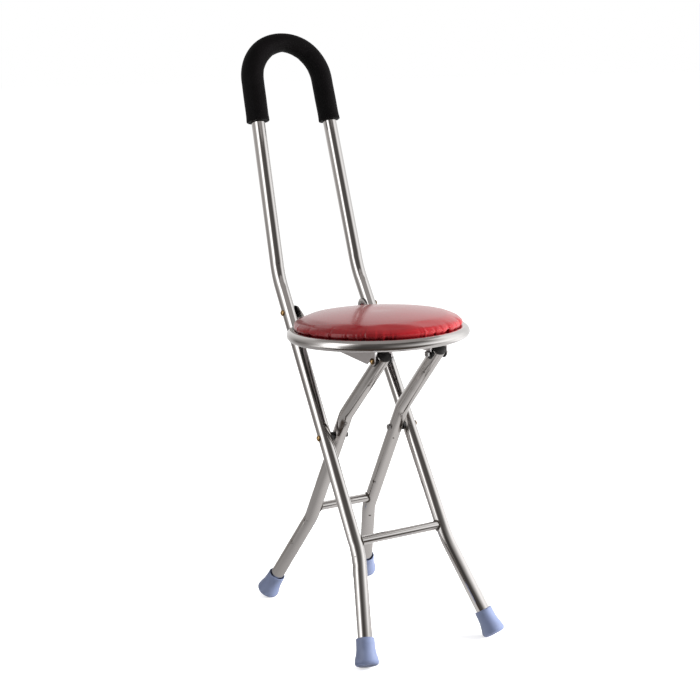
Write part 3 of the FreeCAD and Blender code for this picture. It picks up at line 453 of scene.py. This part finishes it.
steel("channel_sheet", (0.85, 0.815, 0.82), 0.33, 0.000003, 0.7, (1, 0.02, 1))
# The pan's near-black colour is painted shade: it gives the legs a dark underside to mirror.
steel("pan_painted_shade", (0.030, 0.027, 0.025), 0.5, 0.00001, 0.5, (1, 1, 1), Metallic=0.0)
# The weld's dark colour is partly the bead's own and partly painted shade for the gap round each bead.
steel("weld", (0.13, 0.115, 0.10), 0.30, 0.00003, 0.9, (1, 1, 1))
print("steel finishes:", ", ".join(looks))

# %% [markdown]
# ## Rubber, foam, plastic and small metal
# The feet are grey-blue rubber with a slight bloom, the grip is black sponge with visible cells,
# the plugs and washers are black plastic, and the bolts have brown-yellow plated domes on bright
# shanks, which show at their inner ends, with zinc plated nuts.
# %% Other finishes


def moulded(name, colour, pale, roughness, grains, depth, **settings):
    """A moulded finish: mottled between two colours, with a fine bump of the given depth."""
    tree, shader = new_look(name, Roughness=roughness, **settings)
    seen = use_group(tree, skin, Vector=new_node(tree, "ShaderNodeTexCoord").outputs["Object"],
                     Grains_per_metre=grains)
    colours = mix_colours(tree, seen["Mottle"], (*colour, 1), (*pale, 1))
    tree.links.new(colours, shader.inputs["Base Color"])
    tree.links.new(bump(tree, seen["Height"], depth), shader.inputs["Normal"])
    return tree, shader, colours


moulded("sponge", (0.0010, 0.0008, 0.0009), (0.0030, 0.0026, 0.0028), 0.62, 1300.0, 0.00012,
        Specular_IOR_Level=0.09)
moulded("grey_rubber", (0.108, 0.131, 0.213), (0.139, 0.166, 0.263), 0.33, 900.0, 0.00002)
moulded("black_plastic", (0.007, 0.007, 0.007), (0.014, 0.013, 0.013), 0.34, 1500.0, 0.00002)
moulded("zinc", (0.60, 0.59, 0.59), (0.48, 0.47, 0.47), 0.24, 600.0, 0.00001, Metallic=1.0)
BRASS, BRASS_PALE, SHANK = (0.33, 0.20, 0.085), (0.43, 0.28, 0.12), (0.50, 0.49, 0.48, 1)
for kind, head_starts in (("catch", 0.058), ("hinge", 0.077), ("crossing", 0.079)):
    tree, shader, colours = moulded(f"{kind}_brass", BRASS, BRASS_PALE, 0.25, 700.0, 0.000006,
                                    Metallic=1.0)
    place = new_node(tree, "ShaderNodeTexCoord").outputs["Object"]
    x = new_node(tree, "ShaderNodeSeparateXYZ", {0: place}).outputs["X"]
    sideways = math_node(tree, "ABSOLUTE", x)
    in_head = math_node(tree, "GREATER_THAN", sideways, head_starts)
    tree.links.new(mix_colours(tree, in_head, SHANK, colours), shader.inputs["Base Color"])

# %% [markdown]
# The board under the cushion is plywood, which is hidden once the cushion is on. The cover is a
# smooth red film cloth: a faint pebble grain, a colour that handling has mottled, and a thin clear
# coat that gives the sharp glints on its puckers.
# %% Board and cover finishes
tree, shader = new_look("plywood", Roughness=0.6)
place = new_node(tree, "ShaderNodeTexCoord").outputs["Object"]
rings = noise(tree, stretched(tree, place, (1, 12, 30)), 9.0, 5.0, 0.6, 0.6)
wood = mix_colours(tree, rings, (0.42, 0.27, 0.13, 1), (0.66, 0.48, 0.28, 1))
tree.links.new(wood, shader.inputs["Base Color"])
tree.links.new(bump(tree, rings, 0.0002), shader.inputs["Normal"])

tree, shader = new_look("red_leathercloth", Specular_IOR_Level=0.30, Coat_Weight=0.30,
                        Coat_Roughness=0.06)
place = new_node(tree, "ShaderNodeTexCoord").outputs["Object"]
pebbles = new_node(tree, "ShaderNodeTexVoronoi", {"Vector": place, "Scale": 1100.0},
                   feature="SMOOTH_F1").outputs[0]
creases = noise(tree, place, 600.0, 4.0, 0.6)
grain = math_node(tree, "ADD", math_node(tree, "MULTIPLY", pebbles, 0.6), creases)
handled = noise(tree, place, 22.0, 4.0, 0.55)
red = mix_colours(tree, handled, (0.180, 0.006, 0.009, 1), (0.230, 0.010, 0.013, 1))
tree.links.new(red, shader.inputs["Base Color"])
tree.links.new(scaled(tree, handled, 0.15, 0.24), shader.inputs["Roughness"])
tree.links.new(bump(tree, grain, 0.00003), shader.inputs["Normal"])
print("all finishes:", ", ".join(looks))

# %% [markdown]
# ## Surfaces from numpy
# Every new piece is a grid of points: rings along a run, and points round each ring. A tube is a
# ring carried along a line, and a turned piece is a profile carried round an axis, which is the
# same grid with a radius that changes. Straight runs meet in arcs that touch both, as a bending
# machine leaves them.
# %% Surface helpers
NEAR_END = np.array([0.15, 0.4, 0.8, 1.4])


def line_of(corners, radii, step):
    """Points, unit ways and distances along straight runs joined by arcs, in mm.

    At a corner that turns by an angle t, an arc of radius R starts R tan(t / 2) before it. A point
    on the arc at angle a is start + R sin(a) along the way in + R (1 - cos a) towards the centre.
    """
    corners = np.array(corners, float)
    ways = np.diff(corners, axis=0)
    ways /= np.linalg.norm(ways, axis=1)[:, None]
    points, tangents, arcs, here, gone = [], [], [], corners[0], 0.0
    for k, radius in enumerate(list(radii) + [0.0]):
        last = k == len(radii)
        turn = 0.0 if last else math.acos(ways[k] @ ways[k + 1])
        setback = radius * math.tan(turn / 2)
        arc_start = corners[k + 1] - ways[k] * setback
        run = np.linalg.norm(arc_start - here)
        along = np.linspace(0, run, max(2, int(run / step)), endpoint=last)
        if k == 0 or last:
            along = np.union1d(along, run - NEAR_END if last else NEAR_END)
        points.append(here + along[:, None] * ways[k])
        tangents.append(np.tile(ways[k], (len(along), 1)))
        gone += run
        if last:
            break
        inward = ways[k + 1] - (ways[k + 1] @ ways[k]) * ways[k]
        inward /= np.linalg.norm(inward)
        angle = np.linspace(0, turn, max(3, int(radius * turn / step)), endpoint=False)[:, None]
        points.append(arc_start + radius * (np.sin(angle) * ways[k] + (1 - np.cos(angle)) * inward))
        tangents.append(np.cos(angle) * ways[k] + np.sin(angle) * inward)
        arcs.append((gone, gone + radius * turn, inward))
        gone += radius * turn
        here = corners[k + 1] + ways[k + 1] * setback
    points = np.concatenate(points)
    distance = np.concatenate(([0.0], np.cumsum(np.linalg.norm(np.diff(points, axis=0), axis=1))))
    return points, np.concatenate(tangents), distance, arcs


def rings_round(points, tangents, reference, radius, sides):
    """Rings of points: point + radius (cos a across + sin a other), with across the part of the
    reference direction that is square to the way, and other = way x across."""
    reference = np.array(reference, float)
    across = reference - (tangents @ reference)[:, None] * tangents
    across /= np.linalg.norm(across, axis=1)[:, None]
    other = np.cross(tangents, across)
    angle = np.linspace(0, 2 * math.pi, sides, endpoint=False)[None, :, None]
    radius = np.broadcast_to(np.asarray(radius, float), (len(points), sides))[..., None]
    outwards = np.cos(angle) * across[:, None] + np.sin(angle) * other[:, None]
    return points[:, None] + radius * outwards


# %% [markdown]
# A grid becomes a mesh by joining each point to its neighbours with quads. Both ends are closed, or
# joined to each other, so that every new piece is a closed skin with its faces outwards.
# %% Grid to mesh
def grid_mesh(name, grid, ends="caps", distance=None):
    """A mesh from rings of points in mm. Each ring closes on itself; the ends are closed by fans
    round a middle point (caps), or the last ring joins the first (ring). The UV map is in metres."""
    rows, sides = grid.shape[:2]
    count = rows if ends == "ring" else rows - 1
    i, j = np.meshgrid(np.arange(count), np.arange(sides), indexing="ij")
    following, beside = (i + 1) % rows, (j + 1) % sides
    quads = np.stack([i * sides + j, i * sides + beside, following * sides + beside,
                      following * sides + j], axis=-1).reshape(-1, 4)
    round_ring = np.linalg.norm(np.roll(grid, -1, axis=1) - grid, axis=2).sum(axis=1).max()
    if distance is None:
        steps = np.linalg.norm(np.diff(grid.mean(axis=1), axis=0), axis=1)
        distance = np.concatenate(([0.0], np.cumsum(steps)))
    distance = np.append(distance, 2 * distance[-1] - distance[-2])
    u = np.stack([j, j + 1, j + 1, j], axis=-1) * round_ring / sides
    v = distance[np.stack([i, i, i + 1, i + 1], axis=-1)]
    uv = [np.stack([u, v], axis=-1).reshape(-1, 2) * MM]
    corners, faces = grid.reshape(-1, 3), quads.tolist()
    if ends == "caps":
        first, last, j = len(corners), len(corners) + 1, np.arange(sides)
        corners = np.concatenate([corners, [grid[0].mean(axis=0), grid[-1].mean(axis=0)]])
        faces += np.stack([np.full(sides, first), (j + 1) % sides, j], axis=-1).tolist()
        base = (rows - 1) * sides
        faces += np.stack([np.full(sides, last), base + j, base + (j + 1) % sides], axis=-1).tolist()
        uv.append(np.zeros((6 * sides, 2)))
    mesh = bpy.data.meshes.new(name)
    mesh.from_pydata((corners * MM).tolist(), [], faces)
    mesh.shade_smooth()
    uv_map = mesh.uv_layers.new(name="UVMap")
    uv_map.data.foreach_set("uv", np.concatenate(uv).astype(np.float32).ravel())
    return mesh


def add_piece(mesh, look, body, slot, *replaced):
    """A new object that rides on a body, has a finish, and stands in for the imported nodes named."""
    mesh.materials.append(looks[look])
    piece = bpy.data.objects.new(mesh.name, mesh)
    bpy.context.scene.collection.objects.link(piece)
    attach(piece, body)
    if replaced:
        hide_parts(*replaced)
    return piece


def bell(x, middle, width):
    """A smooth bump of height 1: exp(-((x - middle) / width)^2)."""
    return np.exp(-((x - middle) / width) ** 2)


print("surfaces: helpers for grids, runs of", len(NEAR_END), "close rings at each cut end")

# %% [markdown]
# ## The long frame
# One 20 mm tube is bent from the front feet up past the seat and round the handle. Its route
# starts from the two pivots in the frame: the long legs run through both, and the bends lie at
# set distances along them. A bend squeezes the tube a little, and where a bend starts and stops
# the tube is slightly crushed, which breaks the reflections there, as the photograph shows.
# %% Long frame
TUBE_RADIUS = 10.0
TUBE_SIDES = 64
FOOT_AXIS_HEIGHT = 7.0
FOOT_FLOOR = 8.0
FRONT_BEND, SEAT_BEND, REAR_BEND, TOP_BEND = 140.0, 115.0, 75.0, 42.0
FRONT_LEAN, UPRIGHT_LEAN, REAR_LEAN = (math.radians(x) for x in (30.0, 16.8, 30.0))
SEAT_BEND_UP, FRONT_BEND_DOWN, UPRIGHT_LENGTH = 250.0, 173.0, 343.4
SEAT_BEND_X, FRONT_BEND_X, FRONT_FOOT_X, HANDLE_X = 66.6, 72.2, 105.5, 55.6
HANDLE_FLAT = 1.0
RIM_LENGTH, RIM_DEPTH = 0.8, 0.45


def along_lean(lean):
    """The way up a leg that leans back from upright, in the plane x = 0."""
    return np.array([0.0, math.sin(lean), math.cos(lean)])


def mirrored(points):
    """The same run on the other side, taken the other way."""
    return np.array(points)[::-1] * (-1, 1, 1)


def towards(a, b):
    """The unit way from a to b."""
    return (b - a) / np.linalg.norm(b - a)


def foot_base(bend, half_width, lean):
    """Where the leg below a bend meets the height of the foot's base; lean < 0 goes back."""
    drop = bend[2] - FOOT_AXIS_HEIGHT
    return np.array([half_width, bend[1] - drop * math.tan(lean), FOOT_AXIS_HEIGHT])


crossing, hinge = pivots["leg_fold"] / MM, pivots["seat_fold"] / MM
long_way = towards(crossing, hinge)
seat_bend = crossing + long_way * SEAT_BEND_UP + (SEAT_BEND_X, 0, 0)
front_bend = crossing - long_way * FRONT_BEND_DOWN + (FRONT_BEND_X, 0, 0)
handle_corner = seat_bend + along_lean(UPRIGHT_LEAN) * UPRIGHT_LENGTH
handle_corner[0] = HANDLE_X
front_base = foot_base(front_bend, FRONT_FOOT_X, FRONT_LEAN)
front_end = front_base + towards(front_base, front_bend) * FOOT_FLOOR
half_route = [front_end, front_bend, seat_bend, handle_corner]
upright_way = towards(seat_bend, handle_corner)
handle_turn = math.acos(-upright_way[0])
handle_radius = (handle_corner[0] - HANDLE_FLAT / 2) / math.tan(handle_turn / 2)
route = np.concatenate([half_route, mirrored(half_route)])
radii = [FRONT_BEND, SEAT_BEND, handle_radius]
points, tangents, distance, arcs = line_of(route, radii + radii[::-1], 3.0)
ACROSS_UPRIGHTS = (0, -math.cos(UPRIGHT_LEAN), math.sin(UPRIGHT_LEAN))
print("long frame: bends at", front_bend.round(1), seat_bend.round(1), "and", handle_corner.round(1))

# %% [markdown]
# The tube is swept along that route. Its radius is a function of the place along it and the angle
# round it, so the squeeze and the crush of each bend are part of the surface.
# %% Long tube


def bent_radius(points, tangents, distance, arcs, reference, squeeze, crush):
    """The tube's radius round each ring: less in a bend's own plane, with a shallow hollow on the
    inside where each bend starts and stops, and a rounded rim at both ends.

    radius = R - squeeze * inside the bend * cos^2 b - crush * bell(distance) * max(0, cos b)^2,
    with b the angle from the inside of the bend. The rim falls off over RIM_LENGTH by RIM_DEPTH."""
    round_tube = rings_round(points, tangents, reference, 1.0, TUBE_SIDES) - points[:, None]
    radius = np.full(round_tube.shape[:2], TUBE_RADIUS)
    for start, end, inward in arcs:
        cosine = round_tube @ inward
        inside = np.clip((distance - start) / 10, 0, 1) * np.clip((end - distance) / 10, 0, 1)
        radius -= squeeze * inside[:, None] * cosine ** 2
        for edge in (start, end):
            radius -= crush * bell(distance, edge, 3.5)[:, None] * np.clip(cosine, 0, 1) ** 2
    from_end = np.minimum(distance, distance[-1] - distance)
    rim = 1 - np.sqrt(1 - np.clip(1 - from_end / RIM_LENGTH, 0, 1) ** 2)
    return radius - RIM_DEPTH * rim[:, None]


radius = bent_radius(points, tangents, distance, arcs, ACROSS_UPRIGHTS, 0.15, 0.40)
grid = rings_round(points, tangents, ACROSS_UPRIGHTS, radius, TUBE_SIDES)
add_piece(grid_mesh("long_tube", grid, distance=distance), "polished_tube", "frame", "polished_steel",
          "long_frame")
print("long tube:", round(distance[-1]), "mm from foot to foot, handle radius", round(handle_radius, 1))

# %% [markdown]
# ## The rear legs
# Each short leg is its own tube: from its foot up past the rear bar, over the crossing bolt, and
# forward under the seat, where an open end takes a black plug.
# %% Rear legs
REAR_BEND_DOWN, TOP_BEND_UP = 163.0, 40.0
REAR_BEND_X, TOP_BEND_X, REAR_FOOT_X = 49.47, 46.78, 87.5
LEG_TOP = (43.98, -152.10, 416.22)
rear_bend = crossing - along_lean(-REAR_LEAN) * REAR_BEND_DOWN + (REAR_BEND_X, 0, 0)
top_bend = crossing + along_lean(-REAR_LEAN) * TOP_BEND_UP + (TOP_BEND_X, 0, 0)
rear_base = foot_base(rear_bend, REAR_FOOT_X, -REAR_LEAN)
rear_end = rear_base + towards(rear_base, rear_bend) * FOOT_FLOOR
leg_route = np.array([rear_end, rear_bend, top_bend, LEG_TOP])
for side, sign in SIDES.items():
    points, tangents, distance, arcs = line_of(leg_route * (sign, 1, 1), [REAR_BEND, TOP_BEND], 3.0)
    radius = bent_radius(points, tangents, distance, arcs, (1, 0, 0), 0.12, 0.25)
    grid = rings_round(points, tangents, (1, 0, 0), radius, TUBE_SIDES)
    add_piece(grid_mesh(f"rear_{side}_tube", grid, distance=distance), "leg_tube", "rear_legs",
              "satin_steel", f"rear_{side}_leg")

# %% [markdown]
# ## The welds
# Each crossbar is welded to its legs all round. The bead is a thin ring that lies in the corner
# between bar and leg, so it follows the line where one cylinder meets the other.
# %% Welds
BAR_RADIUS, BAR_ABOVE_BEND = 6.35, 18.5


def weld_ring(axis_place, leg_way, sign):
    """A bead round a bar that meets a leg: at the angle a round the bar, the bead is BAR_RADIUS + 0.5
    from the bar's axis, and d to the side of the leg's axis, so it meets the leg's skin at
    x = leg axis - sqrt(R^2 - d^2). Its thickness swells in small scales."""
    a = np.linspace(0, 2 * math.pi, 96, endpoint=False)
    offset = (BAR_RADIUS + 0.5) * np.stack([0 * a, np.cos(a), np.sin(a)], axis=-1)
    sideways = np.cross(offset, leg_way)[:, 0]
    x = axis_place[0] - np.sqrt(TUBE_RADIUS ** 2 - sideways ** 2) - 0.2
    centres = axis_place * (0, 1, 1) + offset + np.stack([x, 0 * a, 0 * a], axis=-1)
    centres *= (sign, 1, 1)
    ways = np.roll(centres, -1, axis=0) - np.roll(centres, 1, axis=0)
    ways /= np.linalg.norm(ways, axis=1)[:, None]
    thick = 1.2 + 0.14 * np.sin(17 * a) + 0.16 * np.sin(3 * a + sign)
    return rings_round(centres, ways, (1, 0, 0), thick[:, None], 14)


for place, bend, upper, body in (("front", front_bend, seat_bend, "frame"),
                                 ("rear", rear_bend, top_bend, "rear_legs")):
    leg_way = towards(bend, upper)
    for side, sign in SIDES.items():
        bead = weld_ring(bend + leg_way * BAR_ABOVE_BEND, leg_way, sign)
        add_piece(grid_mesh(f"{place}_{side}_weld", bead, ends="ring"), "weld", body, "satin_steel")
    print(place, "welds on", body, "at", (bend + leg_way * BAR_ABOVE_BEND).round(1))

# %% [markdown]
# ## The feet
# Each foot is a moulded ferrule pushed on the end of its leg: a wide rounded sole, a waist, and a
# collar whose mouth opens slightly round the tube. It is turned about the leg's own axis, and its
# sole is flattened where it would go below the floor. The profile gives (way up the leg, radius).
# %% Feet
FOOT_PROFILE = np.array([
    (0, 0.8), (0, 6), (0, 11.6), (0.15, 12.9), (0.6, 14.1), (1.4, 15.2), (2.6, 16.1), (4.2, 16.65),
    (6, 16.6), (8, 16.3), (10, 15.9), (12, 15.4), (14.5, 14.8), (17, 14.2), (20, 13.65), (23, 13.3),
    (28, 13.0), (33, 12.9), (36.3, 12.8), (37.0, 12.65), (37.4, 12.3), (37.5, 11.8), (37.2, 11.4),
    (36.4, 11.1), (34.5, 10.6), (32, 10.2), (29, 10.05), (8.2, 10.05), (8, 9.7), (8, 0.8)])
FOOT_SIDES = 72
for place, base, bend, body in (("front", front_base, front_bend, "frame"),
                                ("rear", rear_base, rear_bend, "rear_legs")):
    for side, sign in SIDES.items():
        mirror = (sign, 1, 1)
        way = towards(base, bend) * mirror
        centres = base * mirror + FOOT_PROFILE[:, :1] * way
        ways = np.tile(way, (len(centres), 1))
        grid = rings_round(centres, ways, (1, 0, 0), FOOT_PROFILE[:, 1:], FOOT_SIDES)
        grid[..., 2] = np.maximum(grid[..., 2], 0.0)
        add_piece(grid_mesh(f"{place}_{side}_ferrule", grid), "grey_rubber", body, "grey_rubber",
                  f"{place}_{side}_foot")
    print(place, "feet stand at", base.round(1))

# %% [markdown]
# ## The grip
# A sponge tube is pushed over the handle. It is one closed surface: out along its bore, round a
# lip, back along the outside and round the other lip. Foam stretches thin over the top of the
# bend and gathers on the inside of it, the left leg's part is a little fatter than the right one's,
# and both open ends flare slightly.
# %% Grip
SPONGE = 5.45
BORE = TUBE_RADIUS + 0.05
SLEEVE_STRAIGHT = 63.0
LIP = 1.4
GRIP_SIDES = 96
LEFT_SHORTER = 2.0
sleeve_end = handle_corner - upright_way * (handle_radius * math.tan(handle_turn / 2) + SLEEVE_STRAIGHT)
left_end = sleeve_end + upright_way * LEFT_SHORTER
sleeve_route = np.array([sleeve_end, handle_corner, *mirrored([left_end, handle_corner])])
points, tangents, distance, _ = line_of(sleeve_route, [handle_radius] * 2, 1.5)
length = distance[-1]
angle = np.linspace(0, 2 * math.pi, GRIP_SIDES, endpoint=False)[None]
unit = rings_round(points, tangents, ACROSS_UPRIGHTS, 1.0, GRIP_SIDES) - points[:, None]
handle_centre = handle_corner * (0, 1, 1) - upright_way * (0, 1, 1) * handle_radius
inward = handle_centre - points
inward -= (inward * tangents).sum(axis=1)[:, None] * tangents
inward /= np.linalg.norm(inward, axis=1)[:, None]
inside = (unit * inward[:, None]).sum(axis=2)
from_top = (distance - length / 2)[:, None]
from_end = np.minimum(distance, length - distance)[:, None]
print("grip:", round(length), "mm long,", GRIP_SIDES, "points round")

# %% [markdown]
# The outside starts as a plain tube and gets, in turn: foam stretched thin over the top, a crease on
# the inside there, a fatter left part, flared ends, three soft folds, a slow unevenness and lips.
# %% Grip surface
outer = np.full(inside.shape, BORE + SPONGE)
outer -= bell(from_top, 0, 34) * (1.3 * np.clip(inside, 0, 1) + 1.2 * np.clip(-inside, 0, 1) + 0.4)
outer -= 1.3 * np.exp(-np.abs(from_top) / 10) * np.clip(inside, 0, 1) ** 2
outer += 0.9 * np.clip(from_top / 60, 0, 1)
outer += 0.5 * bell(from_end, 0, 7)
for place, deep in ((-38, 0.35), (27, 0.3), (70, 0.25)):
    outer -= deep * bell(from_top, place + 2.5 * np.sin(2 * angle), 5) * np.clip(inside, 0, 1)
outer += 0.10 * np.sin(from_top / 9.0 + 2 * np.sin(angle)) * np.sin(from_top / 23.0 + angle)
outer -= LIP - np.sqrt(LIP ** 2 - np.clip(LIP - from_end, 0, LIP) ** 2)
outside = rings_round(points, tangents, ACROSS_UPRIGHTS, outer, GRIP_SIDES)
bore = rings_round(points[::-1], tangents[::-1], ACROSS_UPRIGHTS, BORE, GRIP_SIDES)
add_piece(grid_mesh("grip", np.concatenate([outside, bore]), ends="ring"), "sponge", "frame", "sponge",
          "handle_sleeve")
print("grip: from", outer.min().round(1), "to", outer.max().round(1), "mm in radius")

# %% [markdown]
# ## The seat ring
# The ring is a 16 mm tube bent round and welded to itself at the back. It is a ring carried round
# the seat's middle, in the seat's own tipped plane, with the small unevenness that rolling leaves.
# %% Seat ring
RING_RADIUS, RING_TUBE = 119.0, 8.0
PITCH = math.radians(2.0)
ring_low, ring_high = (np.array(corner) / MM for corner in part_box("seat_ring"))
ring_middle = (ring_low + ring_high) / 2


def on_seat(points):
    """Points given from the ring's middle, with the seat level, tipped up at the front by 2
    degrees: y' = y cos p + z sin p, z' = z cos p - y sin p."""
    x, y, z = np.moveaxis(np.asarray(points, float), -1, 0)
    return np.stack([x, y * math.cos(PITCH) + z * math.sin(PITCH),
                     z * math.cos(PITCH) - y * math.sin(PITCH)], axis=-1) + ring_middle


def off_seat(points):
    """The way back: y = y' cos p - z' sin p, z = z' cos p + y' sin p."""
    x, y, z = np.moveaxis(np.asarray(points, float) - ring_middle, -1, 0)
    return np.stack([x, y * math.cos(PITCH) - z * math.sin(PITCH),
                     z * math.cos(PITCH) + y * math.sin(PITCH)], axis=-1)


RING_STEPS, RING_SIDES = 288, 56
turn = np.linspace(0, 2 * math.pi, RING_STEPS, endpoint=False)
circle = np.stack([np.cos(turn), np.sin(turn), 0 * turn], axis=-1)
circle_way = np.stack([-np.sin(turn), np.cos(turn), 0 * turn], axis=-1)
grid = rings_round(circle * RING_RADIUS, circle_way, (0, 0, 1), RING_TUBE, RING_SIDES)
grid[..., 2] += (0.06 * np.sin(5 * turn + 1) + 0.04 * np.sin(11 * turn))[:, None]
ring_mesh = grid_mesh("ring_tube", on_seat(grid), ends="ring", distance=turn * RING_RADIUS)
add_piece(ring_mesh, "ring_steel", "seat", "polished_steel", "seat_ring")
print("seat ring middle:", ring_middle.round(2))

# %% [markdown]
# ## The cushion
# The seat is a foam pad under red leathercloth, pulled down tight and tucked under its board. Its
# cover starts as a profile turned round, and a cloth simulation with a little air pressure lets
# it swell and settle, with the part under the board pinned. A real cover is stiffer than a
# simulated one, so only the long waves of what it did are kept: they are picked out with a Fourier
# transform round each ring, which also lets a finer mesh take them. The short puckers where the
# cloth is gathered under the board come last.
# %% Cushion profile
profile_corners = np.array([(0.0, 0.1), (91.0, 0.1), (107.4, 0.1), (109.3, 0.4), (109.6, 4.2),
                            (113.0, 6.2), (117.1, 11.8), (114.4, 18.2), (106.0, 22.3), (90.0, 25.0),
                            (60.0, 28.4), (30.0, 30.3), (0.0, 30.8)])
BOARD_EDGE, TUCK_CORNER, TUCK, GATHER, SHOULDER = 2, 3, 4, 5, 8
CUSHION_RADIUS = 117
chord = np.concatenate(([0.0], np.cumsum(np.linalg.norm(np.diff(profile_corners, axis=0), axis=1))))
CLOTH_SPOKES, SPOKES, CLOTH_CAP = 180, 900, 1.3


def smooth_through(x, xs, ys):
    """A curve through points: each stretch is a cubic whose slopes at its ends are the mean of the
    slopes on either side (Catmull-Rom)."""
    slopes = np.gradient(ys, xs)
    k = np.clip(np.searchsorted(xs, x, side="right") - 1, 0, len(xs) - 2)
    width = xs[k + 1] - xs[k]
    t = (x - xs[k]) / width
    return ((1 + 2 * t) * (1 - t) ** 2 * ys[k] + t * (1 - t) ** 2 * width * slopes[k]
            + t ** 2 * (3 - 2 * t) * ys[k + 1] + t ** 2 * (t - 1) * width * slopes[k + 1])


at = np.concatenate([np.linspace(20.0, chord[BOARD_EDGE], 9),
                     np.linspace(chord[TUCK_CORNER], chord[SHOULDER], 37),
                     np.linspace(chord[SHOULDER], chord[-1] - 4.0, 34)[1:]])
radius, height = (smooth_through(at, chord, profile_corners[:, k])[:, None] for k in (0, 1))


print("cushion profile:", len(at), "rings, widest", radius.max().round(1), "mm")

# %% [markdown]
# The cloth simulation runs on a coarse copy, which is removed again. The copy's lowest part is
# pinned, air presses from inside and there is no gravity, because the foam carries the cover.
# %% Cloth
HELD_BELOW, AIR_PRESSURE, CLOTH_STIFFNESS, CLOTH_MOMENTS = 6.2, 4.0, 25, 20


def turned_grid(radius, height):
    """Rings of points from radius and height given by row and spoke."""
    turn = np.linspace(0, 2 * math.pi, radius.shape[1], endpoint=False)
    return np.stack([radius * np.cos(turn), radius * np.sin(turn), height], axis=-1)


def settled_cloth(start):
    """Where the cloth has moved to after its simulation, in mm from where it started."""
    mesh = grid_mesh("cloth", on_seat(start))
    cloth_piece = bpy.data.objects.new("cloth", mesh)
    bpy.context.scene.collection.objects.link(cloth_piece)
    held = cloth_piece.vertex_groups.new(name="held")
    held.add(np.nonzero(start[..., 2].ravel() < HELD_BELOW)[0].tolist(), 1.0, "REPLACE")
    cloth = cloth_piece.modifiers.new("cloth", "CLOTH")
    cloth.settings.use_pressure = True
    cloth.settings.uniform_pressure_force = AIR_PRESSURE
    cloth.settings.effector_weights.gravity = 0
    cloth.settings.vertex_group_mass = "held"
    cloth.settings.tension_stiffness = cloth.settings.compression_stiffness = CLOTH_STIFFNESS
    cloth.settings.bending_stiffness = 1.0
    cloth.collision_settings.use_collision = False
    for moment in range(1, CLOTH_MOMENTS + 1):
        bpy.context.scene.frame_set(moment)
    settled = cloth_piece.evaluated_get(bpy.context.evaluated_depsgraph_get()).to_mesh()
    moved = np.array([v.co for v in settled.vertices]) / MM
    bpy.context.scene.frame_set(1)
    bpy.data.objects.remove(cloth_piece)
    return off_seat(moved[:start[..., 0].size]).reshape(start.shape) - start


shape = (len(at), CLOTH_SPOKES)
start = turned_grid(np.broadcast_to(radius, shape), np.broadcast_to(height, shape))
step = settled_cloth(start)
size = np.linalg.norm(step, axis=2, keepdims=True)
step *= CLOTH_CAP * np.tanh(size / CLOTH_CAP) / np.maximum(size, 1e-9)
turn = np.linspace(0, 2 * math.pi, CLOTH_SPOKES, endpoint=False)
outwards = step[..., 0] * np.cos(turn) + step[..., 1] * np.sin(turn)
waves_kept = np.where(radius < 70, 4, np.where(radius < 100, 8, 14))


def long_waves(values):
    """Values round each ring at SPOKES places, made of only the first few waves of those given."""
    waves = np.fft.rfft(values, axis=1)
    waves *= np.arange(waves.shape[1]) < waves_kept
    return np.fft.irfft(waves, SPOKES, axis=1) * SPOKES / CLOTH_SPOKES


print("cloth: moved up to", round(size.max(), 1), "mm, kept up to", CLOTH_CAP, "mm")

# %% [markdown]
# The puckers are narrow ridges and folds that start at the tuck and die out up the side. Each one
# is strength * a bell round the cushion * a bell up its side, and they are added along the normal.
# %% Puckers and cushion
random = np.random.default_rng(7)
pucker_count = 120
pucker_turn = random.uniform(0, 2 * math.pi, pucker_count)
strength = random.uniform(-0.8, 1.5, pucker_count) * (1 + 0.5 * np.cos(pucker_turn + 0.9))
narrow = random.uniform(0.9, 2.2, pucker_count)[:, None] / CUSHION_RADIUS
reach = random.uniform(7.0, 15.0, pucker_count)[None]
turn = np.linspace(0, 2 * math.pi, SPOKES, endpoint=False)[None]
round_way = np.exp((np.cos(turn - pucker_turn[:, None]) - 1) / narrow ** 2)
up_way = np.where(at[:, None] > chord[TUCK], bell(at[:, None], chord[GATHER], reach), 0)
pucker = (up_way * strength) @ round_way
slope_r, slope_h = (np.gradient(values[:, 0], at)[:, None] for values in (radius, height))
cushion_grid = turned_grid(radius + long_waves(outwards) - pucker * slope_h,
                           height + long_waves(step[..., 2]) + pucker * slope_r)
cushion = add_piece(grid_mesh("cushion", on_seat(cushion_grid)), "red_leathercloth", "seat",
                    "red_leathercloth", "seat_cover", "seat_foam")
print("cushion:", pucker_count, "puckers of up to", round(np.abs(pucker).max(), 2), "mm")

# %% [markdown]
# ## The frame's own pieces
# The bars, channels, ears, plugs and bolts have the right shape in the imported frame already, so
# they keep it and only get their finish.
# %% Dress the rest
FINISH_OF = {
    "polished_plate": ["hinge_ear"],
    "bar_steel": ["front_crossbar", "rear_crossbar"],
    "channel_sheet": ["seat_channel"],
    "pan_painted_shade": ["seat_pan"],
    "black_plastic": ["leg_top_plug", "hinge_washer", "catch_outer_washer", "catch_inner_washer",
                      "crossing_spacer"],
    "catch_brass": ["catch_bolt"],
    "hinge_brass": ["hinge_bolt"],
    "crossing_brass": ["crossing_bolt"],
    "zinc": ["hinge_nut", "crossing_nut", "catch_nut", "board_screws"],
    "plywood": ["seat_board"],
}
for look, starts in FINISH_OF.items():
    dressed = [name for name in nodes if name.startswith(tuple(starts))]
    for name in dressed:
        for slot in nodes[name].material_slots:
            slot.material = looks[look]
    print(look, "on", ", ".join(dressed))
